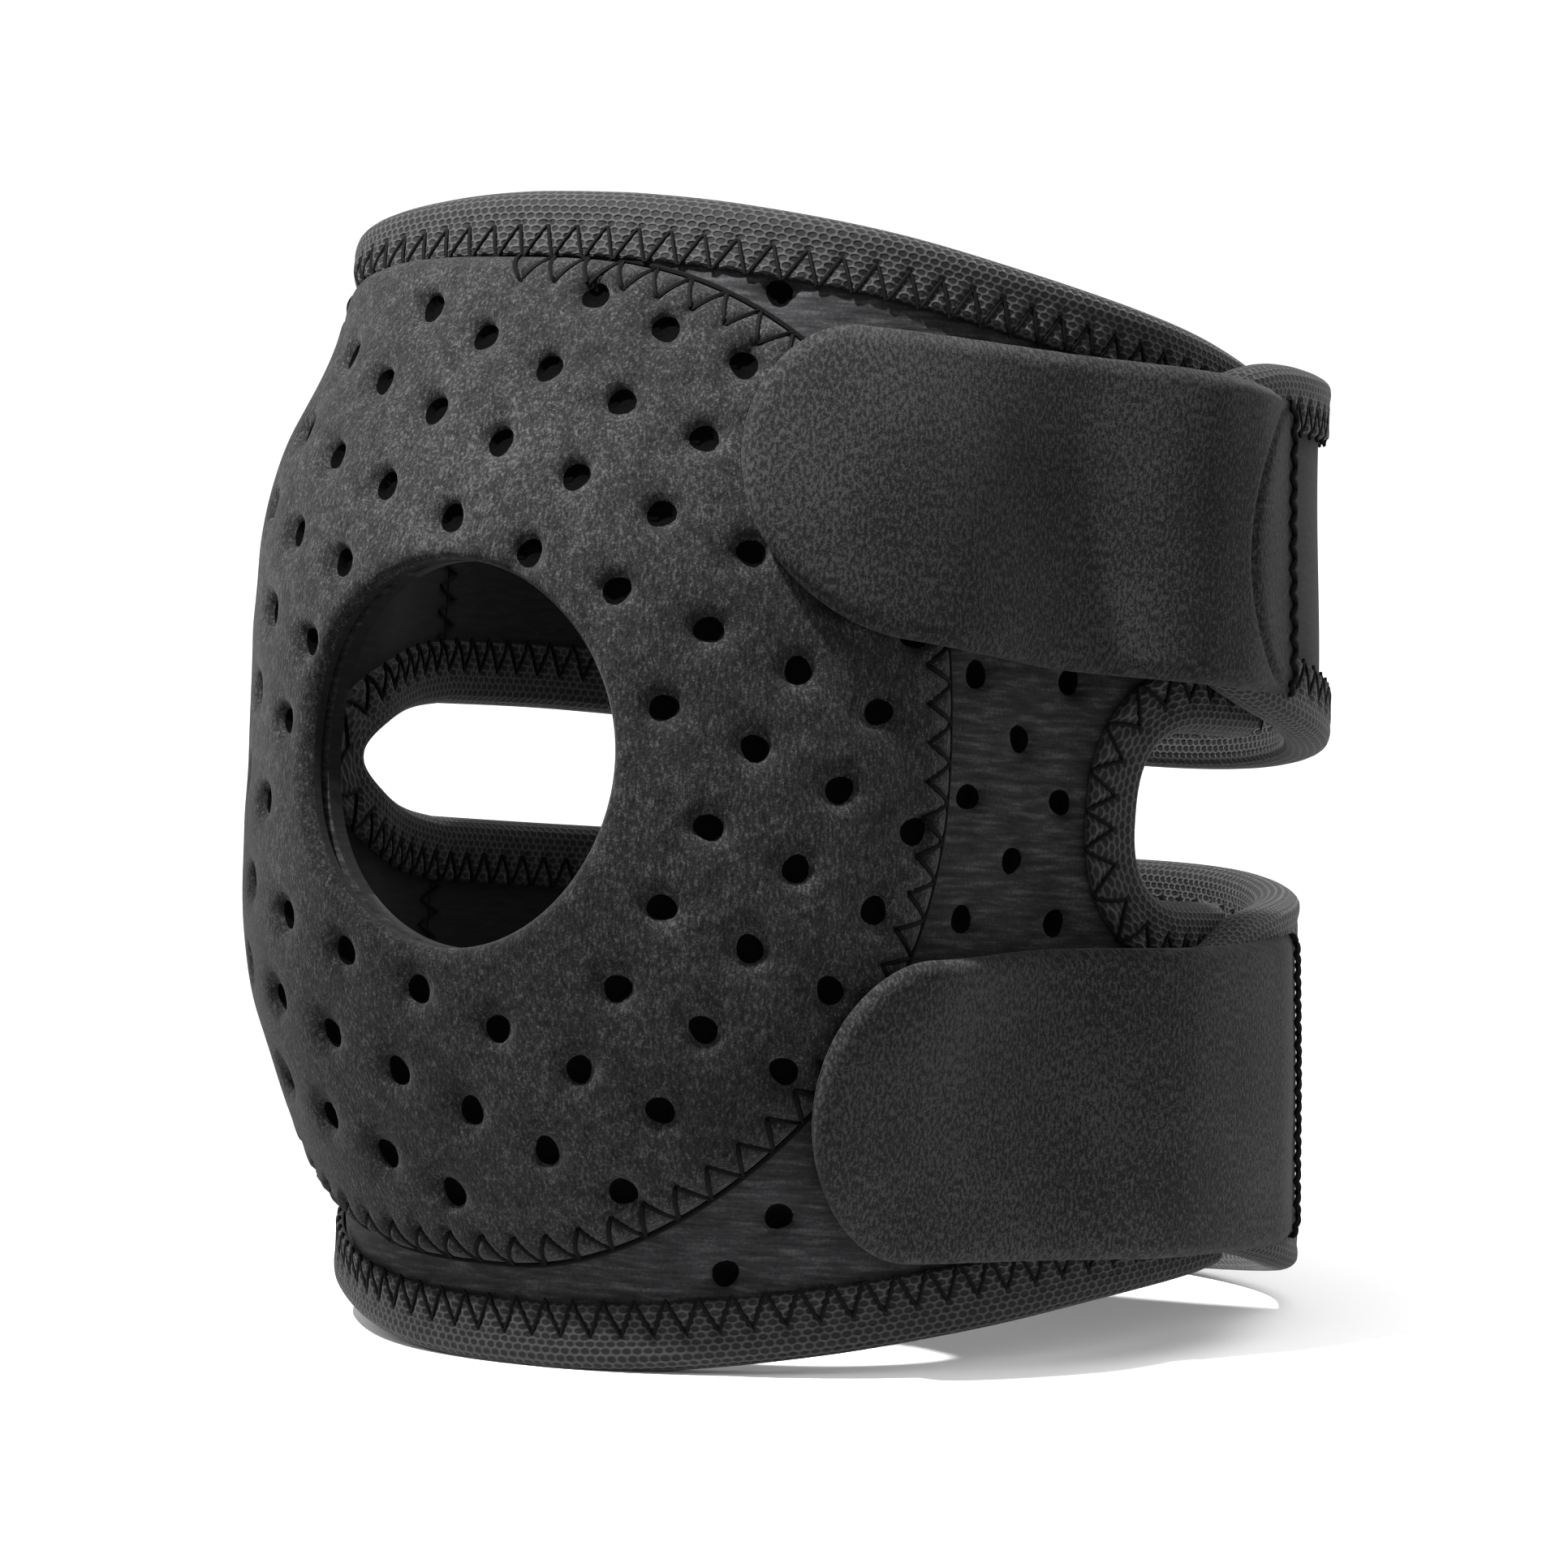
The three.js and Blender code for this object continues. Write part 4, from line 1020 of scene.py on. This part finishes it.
for arm in ("upper", "lower"):
    angle, share = np.meshgrid(np.linspace(ARM_END, ARM_SEAM - degrees_for(SEAM_GAP), ARM_COLUMNS),
                               np.linspace(0, 1, ARM_ROWS))
    low = read_table(ARM_EDGE, arm + "_low", angle) + TAPE_NOSE
    high = read_table(ARM_EDGE, arm + "_high", angle) - TAPE_NOSE
    angle, height = angle.ravel(), (low + share * (high - low)).ravel()
    radii = arm_inner(angle, height) + ARM_THICK, arm_inner(angle, height)
    piece = make_cloth(arm + "_arm_cloth", angle, height, radii, grid_faces(ARM_ROWS, ARM_COLUMNS),
                       [arm_jersey, lining], arm + "_arm")

# %% [markdown]
# The tabs close the wrap. Each is a thick loop-faced strap with a rounded end. Its upper and lower edges
# come from a table of heights, and two rounds of different length end it at the tip. The upper tab also
# has a crease near its seam. Both tabs are described by the same names, so that one recipe makes both.

# %% Edges of the tabs
UPPER_TAB = {
    "tip": 24.9, "seam": 96.5, "tip_height": 34, "round_top": 10, "round_bottom": 16,
    "edge": {"angle": [25, 39, 58, 80, 96.5],
             "low": [16.4, 15.4, 13.5, 12.8, 12.3],
             "high": [46.7, 46.5, 45.7, 44.7, 43.2]},
    "crease": {"angle": 97.0, "height": 27.6, "half_angle": 13.5, "half_height": 15.2, "depth": 0.65},
}
LOWER_TAB = {
    "tip": 34.8, "seam": 110, "tip_height": -33, "round_top": 11, "round_bottom": 12.5,
    "edge": {"angle": [35, 47, 63, 87, 110],
             "low": [-48.4, -48.0, -47.1, -45.8, -44.8],
             "high": [-17.6, -16.7, -15.2, -14.0, -12.7]},
    "crease": None,
}
print("tabs reach", round(UPPER_TAB["seam"] - UPPER_TAB["tip"]), "and",
      round(LOWER_TAB["seam"] - LOWER_TAB["tip"]), "degrees round the limb")

# %% [markdown]
# Two quarter ellipses round off each tab's tip. Columns of points crowd towards it, because the outline
# turns fastest there. How far a point lies from the outline is measured to the nearest of many points
# along it, which is simpler than solving for the ellipse and fine enough.

# %% Outlines of the tabs
OUTLINE_POINTS = 420


def tab_columns(tab, share):
    """Angles from the tip to the seam: one minus a cosine, so that they crowd towards the tip."""
    return tab["tip"] + (tab["seam"] - tab["tip"]) * (1 - np.cos(share * np.pi / 2))


def tab_edges(tab, angle):
    """Upper and lower edge heights: two quarter ellipses at the tip, then the table."""
    high, low = (read_table(tab["edge"], column, angle) for column in ("high", "low"))
    from_tip = angle - tab["tip"]
    top = tab["tip_height"] + (high - tab["tip_height"]) * quarter_round(from_tip, tab["round_top"])
    bottom = tab["tip_height"] + (low - tab["tip_height"]) * quarter_round(from_tip, tab["round_bottom"])
    return top, bottom


def from_outline(tab, angle, height, radius):
    """Distance in millimetres from the tab's free edge, by the nearest point of its outline."""
    edge = tab_columns(tab, np.linspace(0, 1, OUTLINE_POINTS))
    x = np.concatenate([edge, edge])
    y = np.concatenate(tab_edges(tab, edge))
    per_degree = np.radians(radius)[:, None]
    return np.hypot((angle[:, None] - x) * per_degree, height[:, None] - y).min(axis=1)


seam_top, seam_bottom = tab_edges(UPPER_TAB, np.array([UPPER_TAB["seam"]]))
print("the upper tab is", round(float(seam_top[0] - seam_bottom[0]), 1), "mm wide at its seam")

# %% [markdown]
# A tab lies on the pad at its tip, bridges the panel, climbs over the end of the arm and is sewn down on
# the arm. Its pressed edge rolls down all round. Near the upper tab's seam the rounded end of the arm
# below prints through as a D-shaped crease. Cloth simulation could drape the tab, but these few heights
# are known, so smooth steps join them.

# %% Thickness and lie of the tabs
TAB_THICK, TAB_EDGE_THICK, TAB_SEAM_THICK, TAB_ROLL = 2.6, 0.7, 1.7, 1.9
TAB_CLEARANCE, TAB_PAD_RISE, TAB_ARM_RISE, TAB_ON_ARM = 1.45, 1.85, 4.7, 0.15
OFF_PAD, ONTO_ARM, SEWN_SPAN = (1, 1.3), (60, 79), 14.0
CREASE_WIDE, SWELL_SHARE, SWELL_EDGE = 0.032, 0.25, (0.8, 1.04)


def sewn_down(tab, angle):
    """0 on the free part of a tab, rising to 1 at its sewn end."""
    return smoothstep(tab["seam"] - SEWN_SPAN, tab["seam"], angle)


def tab_inner(tab, angle, height):
    """Panel radius plus a clearance, more over the pad and the arm's end; the seam lies on the arm."""
    over_pad = TAB_PAD_RISE * (1 - smoothstep(*OFF_PAD, pad_reach(angle, height)))
    over_arm = TAB_ARM_RISE * smoothstep(*ONTO_ARM, angle)
    free = panel_outer(angle, height) + TAB_CLEARANCE + over_pad + over_arm
    on_arm = arm_inner(angle, height) + ARM_THICK + TAB_ON_ARM
    return free + (on_arm - free) * sewn_down(tab, angle)


def tab_outer(tab, angle, height, edge):
    """Thickness that rolls off at the free edge and is pressed thin at the sewn end."""
    full = TAB_THICK + (TAB_SEAM_THICK - TAB_THICK) * sewn_down(tab, angle)
    thick = TAB_EDGE_THICK + (full - TAB_EDGE_THICK) * quarter_round(edge, TAB_ROLL)
    return tab_inner(tab, angle, height) + thick


def crease_rise(crease, angle, height):
    """A slightly raised D with a groove along its outline, from the arm's end underneath."""
    q = np.hypot((angle - crease["angle"]) / crease["half_angle"],
                 (height - crease["height"]) / crease["half_height"])
    swell = SWELL_SHARE * (1 - smoothstep(*SWELL_EDGE, q))
    return crease["depth"] * (swell - bell(q - 1, CREASE_WIDE))


print("tabs are", TAB_THICK, "mm thick, and", TAB_SEAM_THICK, "mm where they are sewn")

# %% [markdown]
# Each tab is one grid from tip to seam. Every point's distance from the outline sets how far the edge
# has rolled down there. The first column stands a hair behind the tip, because a column of no height
# would make faces without area.

# %% The two tabs
TAB_COLUMNS, TAB_ROWS, ROW_CROWDING = 200, 84, 0.55
TIP_START, CREASE_FADE = 0.0006, 2.5

for name, tab in (("upper_tab", UPPER_TAB), ("lower_tab", LOWER_TAB)):
    columns = tab_columns(tab, np.linspace(TIP_START, 1, TAB_COLUMNS))
    angle, share = np.meshgrid(columns, crowd(TAB_ROWS, ROW_CROWDING))
    top, bottom = tab_edges(tab, angle)
    angle, height = angle.ravel(), (bottom + share * (top - bottom)).ravel()
    inner_radius = tab_inner(tab, angle, height)
    edge = from_outline(tab, angle, height, inner_radius)
    outer_radius = tab_outer(tab, angle, height, edge)
    if tab["crease"]:
        outer_radius += crease_rise(tab["crease"], angle, height) * smoothstep(0, CREASE_FADE, edge)
    piece = make_cloth(name + "_cloth", angle, height, (outer_radius, inner_radius),
                       grid_faces(TAB_ROWS, TAB_COLUMNS), [tab_cloth], name)

# %% [markdown]
# A narrow zigzag in thick thread runs up the sewn end of each tab, from its lower to its upper edge. It
# is laid with the same triangle wave as the pad's seam, and lies on the tab's own face.

# %% Thread of the tabs' seams
TAB_SEAM_PITCH, TAB_SEAM_HALF, TAB_SEAM_INSET = 2.4, 0.6, 0.9
TAB_THREAD, TAB_THREAD_UP = 0.34, 0.3


def tab_seam(tab):
    """A zigzag up the tab's sewn end, as angle, height and radius."""
    top, bottom = (float(edge[0]) for edge in tab_edges(tab, np.array([tab["seam"]])))
    run = np.linspace(0, top - bottom, int((top - bottom) / TAB_SEAM_PITCH) * STITCH_POINTS + 1)
    height = bottom + run
    angle = tab["seam"] - degrees_for(TAB_SEAM_INSET - TAB_SEAM_HALF * zigzag(run, TAB_SEAM_PITCH))
    face = tab_outer(tab, angle, height, np.minimum(run, run[-1] - run)) + TAB_THREAD_UP
    return angle, height, face + stitch_rise(run, TAB_SEAM_PITCH)


sew("tab_seam_thread", [tab_seam(UPPER_TAB), tab_seam(LOWER_TAB)], TAB_THREAD)

# %% [markdown]
# Every raw edge is bound with mesh tape folded over it. The edge is first walked in even steps, with a
# direction out of the cloth at each. The tape's face is plump at the fold and thin at the end of its
# legs. A zigzag seam through both legs pulls grooves into it.

# %% Path and face of the binding tape
TAPE_STEP, TAPE_FACE = 0.4, 1.0
TAPE_PITCH, TAPE_SEAM_HALF, TAPE_SEAM_OUT = 3.2, 1.9, -3.9
PLUMP_HIGH, PLUMP_OUT, PLUMP_WIDE = 0.22, -0.4, 1.0
STITCHED_BAND, TAPE_PUFF = (-5.6, -5.0, -1.9, -1.2), 0.16
TAPE_GROOVE_DEEP, TAPE_GROOVE_WIDE = 0.5, 0.4
LEG_END, LEG_DROP = (-5.4, -4.9), 0.4


def tape_path(path_angle, path_height):
    """The edge resampled evenly, its run in millimetres and its direction out of the cloth."""
    x, y = np.radians(path_angle) * LIMB_RADIUS, path_height
    run = np.concatenate([[0], np.cumsum(np.hypot(np.diff(x), np.diff(y)))])
    even = np.linspace(0, run[-1], int(run[-1] / TAPE_STEP))
    x, y = np.interp(even, run, x), np.interp(even, run, y)
    along = np.gradient(x), np.gradient(y)
    size = np.hypot(*along)
    return np.degrees(x / LIMB_RADIUS), y, even, -along[1] / size, along[0] / size


def tape_face(run, out, cloth_thick):
    """Distance of the tape's face from the middle of the cloth: plump at the nose, grooved by thread."""
    plump = PLUMP_HIGH * bell(out - PLUMP_OUT, PLUMP_WIDE)
    stitched = band(STITCHED_BAND, out)
    away = from_zigzag(run, out - TAPE_SEAM_OUT, TAPE_PITCH, TAPE_SEAM_HALF)
    groove = TAPE_GROOVE_DEEP * stitched * bell(away, TAPE_GROOVE_WIDE)
    edge = LEG_DROP * (1 - smoothstep(*LEG_END, out))
    return cloth_thick / 2 + TAPE_FACE + plump + TAPE_PUFF * stitched - edge - groove


print("tape shows", round(TAPE_NOSE + TAPE_LEG, 1), "mm on each face")

# %% [markdown]
# The tape itself is a U-shaped profile carried along the edge: an outer leg, a nose, an inner leg, and a
# slot for the cloth. A curve with a bevel profile couldn't follow the cloth's changing radius or take
# the grooves. The hem is pressed flat where it stands on the floor.

# %% Tape along an edge
TAPE_SLOT = 0.3
LEG_POINTS, NOSE_POINTS = 15, 11


def make_tape(name, path, inner_radius, cloth_thick, node):
    """Carries the U profile along the edge and closes both ends."""
    angle, height, run, across, along = tape_path(*path)
    leg = np.linspace(-TAPE_LEG, 0, LEG_POINTS)
    nose = np.linspace(0, np.pi, NOSE_POINTS + 2)[1:-1]
    out = np.concatenate([leg, TAPE_NOSE * np.sin(nose), leg[::-1]])
    side = np.concatenate([np.ones(LEG_POINTS), np.cos(nose), -np.ones(LEG_POINTS)])
    slot = cloth_thick / 2 + TAPE_SLOT
    slot_out = np.array([-TAPE_LEG, TAPE_SLOT, TAPE_SLOT, -TAPE_LEG])
    slot_depth = np.array([-slot, -slot, slot, slot])
    depth = side * tape_face(run[:, None], np.minimum(out, 0)[None, :], cloth_thick)
    depth = np.concatenate([depth, np.broadcast_to(slot_depth, (len(run), len(slot_depth)))], axis=1)
    out = np.concatenate([out, slot_out])[None, :]
    at = angle[:, None] + degrees_for(out * across[:, None])
    up = height[:, None] + out * along[:, None]
    points = place(at, up, inner_radius(at, up) + cloth_thick / 2 + depth).reshape(-1, 3)
    points[:, 2] = np.maximum(points[:, 2], 0.0)
    faces = tube_faces(len(run), out.shape[1], flipped=True)
    width = np.concatenate([[0], np.cumsum(np.hypot(np.diff(out[0]), np.diff(depth[0])))])
    uv = np.stack(np.broadcast_arrays(run[:, None], width[None, :]), axis=-1).reshape(-1, 2)
    return make_piece(name, points, faces, uv, [mesh_knit], [node])


print("tape profile has", 2 * LEG_POINTS + NOSE_POINTS, "points round the fold")

# %% [markdown]
# A tape is sewn through both of its legs and the cloth between them, so its thread shows on both faces.
# It follows the zigzag that grooves the tape, a little above the bottom of the groove.

# %% Threads of a tape
TAPE_STITCH_POINTS, TAPE_THREAD_UP = 14, 0.1


def tape_threads(path, inner_radius, cloth_thick):
    """The zigzag threads on both faces of a tape, as angle, height and radius."""
    angle, height, run, across, along = tape_path(*path)
    fine = np.linspace(0, run[-1], int(run[-1] / TAPE_PITCH * TAPE_STITCH_POINTS))
    angle, height, across, along = (np.interp(fine, run, k) for k in (angle, height, across, along))
    out = TAPE_SEAM_OUT + TAPE_SEAM_HALF * zigzag(fine, TAPE_PITCH)
    at, up = angle + degrees_for(out * across), height + out * along
    depth = tape_face(fine, out, cloth_thick) + stitch_rise(fine, TAPE_PITCH) + TAPE_THREAD_UP
    middle = inner_radius(at, up) + cloth_thick / 2
    return [(at, up, middle + depth), (at, up, middle - depth)]


print("tape stitches are", TAPE_PITCH, "mm long and", 2 * TAPE_SEAM_HALF, "mm wide")

# %% [markdown]
# Four of the six tapes run along a hem of the panel or along an arm's outer edge. The other two bend: one
# round the notch at the right, and the longest along the lower arm, round the left end of the gap and
# back along the upper arm. Each edge is walked so that the open side is on the left.

# %% Edges that the tapes follow
WAY_POINTS, NOTCH_POINTS, GAP_POINTS = 400, 120, 160
ARM_TAPE_END = 84.6

panel_way = np.linspace(PANEL_LEFT, PANEL_RIGHT, WAY_POINTS)
arm_way = np.linspace(ARM_TAPE_END, ARM_SEAM - degrees_for(SEAM_GAP), WAY_POINTS)
panel_back, arm_back = panel_way[::-1], arm_way[::-1]


def squared(value):
    """Sign kept, size raised to the power that squares off a round."""
    return np.sign(value) * np.abs(value) ** (2 / NOTCH_SQUARE)


notch_turn = np.radians(np.linspace(90, 270, NOTCH_POINTS))
notch_angle = notch_tip + degrees_for(notch_half) * (1 + squared(np.cos(notch_turn)))
notch_height = NOTCH_HEIGHT + notch_half * squared(np.sin(notch_turn))
notch_path = (np.concatenate([[PANEL_RIGHT], notch_angle, [PANEL_RIGHT]]),
              np.concatenate([notch_height[:1], notch_height, notch_height[-1:]]))

gap_start = np.arccos((ARM_SEAM - GAP_CENTRE) / gap_reach)
gap_turn = np.linspace(-gap_start, gap_start, GAP_POINTS)
gap_path = (
    np.concatenate([arm_way, GAP_CENTRE + gap_reach * np.cos(gap_turn), arm_back]),
    np.concatenate([read_table(ARM_EDGE, "lower_high", arm_way) - TAPE_NOSE,
                    GAP_HEIGHT + gap_half * np.sin(gap_turn),
                    read_table(ARM_EDGE, "upper_low", arm_back) + TAPE_NOSE]),
)
print("edge round the gap:", round(tape_path(*gap_path)[2][-1]), "mm")

# %% [markdown]
# Now the six tapes are folded over their edges and sewn. Each lies on the cloth that it binds, so it
# takes that cloth's radius and thickness. The one round the gap starts on an arm, passes on to the
# panel at the seam, and comes back.

# %% The six tapes and their stitching
TAPE_THREAD = 0.2


def wrap_inner(angle, height):
    """The arms' inner radius and, past their seam at the left, the panel's."""
    on_panel = panel_inner(angle - FULL_TURN, height)
    return np.where(angle > ARM_SEAM, on_panel, arm_inner(angle, height))


upper_edge = read_table(ARM_EDGE, "upper_high", arm_way) - TAPE_NOSE
lower_edge = read_table(ARM_EDGE, "lower_low", arm_back) + TAPE_NOSE
TAPES = [
    ("top_tape", (panel_way, panel_top(panel_way)), panel_inner, PANEL_THICK, 0.157),
    ("bottom_tape", (panel_back, panel_bottom(panel_back)), panel_inner, PANEL_THICK, 0.157),
    ("notch_tape", notch_path, panel_inner, PANEL_THICK, 0.062),
    ("window_tape", gap_path, wrap_inner, PANEL_THICK, 0.39),
    ("upper_arm_tape", (arm_way, upper_edge), arm_inner, ARM_THICK, 0.157),
    ("lower_arm_tape", (arm_back, lower_edge), arm_inner, ARM_THICK, 0.157),
]
for node, path, inner_radius, cloth_thick, flat_length in TAPES:
    tape = make_tape(node + "_knit", path, inner_radius, cloth_thick, node)
    sew(node + "_thread", tape_threads(path, inner_radius, cloth_thick), TAPE_THREAD)

# %% [markdown]
# The arms are joined to the panel edge to edge at the left. A flat zigzag seam bridges the joint on
# the outside and shows again on the lining. It stops where the tapes begin.

# %% Thread of the seam between the panel and the arms
JOINT_PITCH, JOINT_HALF = 2.8, 1.9
JOINT_THREAD, JOINT_THREAD_UP = 0.24, 0.1
JOINT_HEIGHTS = [(13.9, 42.2), (-43.0, -13.1)]


def joint_seam(low, high, radius):
    """A zigzag up the joint at the arms' seam angle, at this radius."""
    run = np.linspace(0, high - low, int((high - low) / JOINT_PITCH) * TAPE_STITCH_POINTS + 1)
    angle = ARM_SEAM + degrees_for(JOINT_HALF * zigzag(run, JOINT_PITCH))
    height = low + run
    return angle, height, radius + ripple(angle, height)


joint_radii = LIMB_RADIUS + PANEL_THICK + JOINT_THREAD_UP, LIMB_RADIUS - JOINT_THREAD_UP
runs = [joint_seam(low, high, radius) for low, high in JOINT_HEIGHTS for radius in joint_radii]
sew("arm_joint_thread", runs, JOINT_THREAD)

# %% [markdown]
# The wrap stands on a plain pale floor. It is matt white paper, with a cloudy tint so slow and faint that
# it only keeps the white from being flat. The floor is a wide disc, so that no edge of it shows from any
# side.

# %% Floor
FLOOR_RADIUS, FLOOR_SIDES = 8.0, 96
PAPER_CLOUD_MM, PAPER_DIM, PAPER_BRIGHT = 60, "#f6f6f6", "#f9f9f9"

rim_turn = np.linspace(0, 2 * np.pi, FLOOR_SIDES, endpoint=False)
rim_points = np.stack([np.cos(rim_turn), np.sin(rim_turn), 0 * rim_turn], axis=-1) * FLOOR_RADIUS
floor_mesh = bpy.data.meshes.new("floor")
floor_mesh.from_pydata(rim_points.tolist(), [], [list(range(FLOOR_SIDES))])
floor = bpy.data.objects.new("floor", floor_mesh)
bpy.context.scene.collection.objects.link(floor)
floor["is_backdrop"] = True

paper, tree, where = start_material("matt_white_paper")
cloud = add_node(tree, "ShaderNodeTexNoise", {
    "Vector": where.outputs["Object"], "Scale": per_mm(PAPER_CLOUD_MM), "Detail": 2.0})
tint = add_node(tree, "ShaderNodeMix", {
    0: cloud.outputs["Fac"], 6: linear(PAPER_DIM), 7: linear(PAPER_BRIGHT)}, data_type="RGBA")
shader = add_node(tree, "ShaderNodeBsdfPrincipled", {
    "Base Color": tint.outputs[2], "Roughness": 0.9, "Specular IOR Level": 0.1})
add_node(tree, "ShaderNodeOutputMaterial", {"Surface": shader.outputs["BSDF"]})
floor_mesh.materials.append(paper)
print("floor", 2 * FLOOR_RADIUS, "m across")

# %% [markdown]
# Black cloth needs a lot of light to show its nap. A spot high at the left front models the cup; its cone
# is narrow and fades out towards its rim, so that the floor in front doesn't throw the light back under
# the wrap. A weaker softbox lights the back, and a white world keeps the shadows open.

# %% Light
WORLD_WHITE, WORLD_STRENGTH = "#ffffff", 1.15
KEY_AT, KEY_AIM = (-0.3, -0.64, 1.3), (-0.005, -0.04, 0.12)
BACK_AT, BACK_AIM = (0.2, 1.1, 0.8), (0.0, 0.0, 0.06)

world = bpy.data.worlds.new("studio")
bpy.context.scene.world = world
world.use_nodes = True
world.node_tree.nodes["Background"].inputs["Color"].default_value = linear(WORLD_WHITE)
world.node_tree.nodes["Background"].inputs["Strength"].default_value = WORLD_STRENGTH
bpy.context.scene.view_settings.view_transform = "Standard"


def aim_lamp(light, position, target):
    """Puts a light at a position and turns it to a target."""
    lamp = bpy.data.objects.new(light.name, light)
    lamp.location = position
    lamp.rotation_euler = (Vector(target) - Vector(position)).to_track_quat("-Z", "Y").to_euler()
    bpy.context.scene.collection.objects.link(lamp)
    print(lamp.name, "gives", light.energy, "W")


key = bpy.data.lights.new("key_light", "SPOT")
key.energy = 520
key.spot_size = np.radians(7.4)
key.spot_blend = 1.0
key.shadow_soft_size = 0.04
aim_lamp(key, KEY_AT, KEY_AIM)
back = bpy.data.lights.new("back_light", "AREA")
back.shape = "SQUARE"
back.size = 0.8
back.energy = 8
aim_lamp(back, BACK_AT, BACK_AIM)

# %% [markdown]
# The camera stands where the photograph was taken from: 33 degrees round to the right, 5 degrees up,
# with a long lens from 0.9 m, aimed a little left of the limb's axis so that the framing agrees.

# %% Camera
AZIMUTH, ELEVATION, DISTANCE = np.radians(33.2), np.radians(5.2), 0.9
LENS_MM, SENSOR_MM = 192.0, 36.0
AIM_LEFT, AIM_UP = 0.00297, 0.00065

forward = np.array([-np.sin(AZIMUTH) * np.cos(ELEVATION),
                    np.cos(AZIMUTH) * np.cos(ELEVATION),
                    -np.sin(ELEVATION)])
rightward = np.array([np.cos(AZIMUTH), np.sin(AZIMUTH), 0.0])
upward = np.cross(rightward, forward)
aim = LIMB_ORIGIN - AIM_LEFT * rightward + AIM_UP * upward
camera_data = bpy.data.cameras.new("camera")
camera_data.lens = LENS_MM
camera_data.sensor_width = SENSOR_MM
camera = bpy.data.objects.new("camera", camera_data)
camera.location = aim - DISTANCE * forward
camera.rotation_euler = Vector(forward).to_track_quat("-Z", "Y").to_euler()
bpy.context.scene.collection.objects.link(camera)
bpy.context.scene.camera = camera
print("camera at", [round(x, 3) for x in camera.location])

# %% Sizes and finish
low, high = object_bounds()
print("dressed box in mm:", [round((b - a) / MM, 1) for a, b in zip(low, high)])
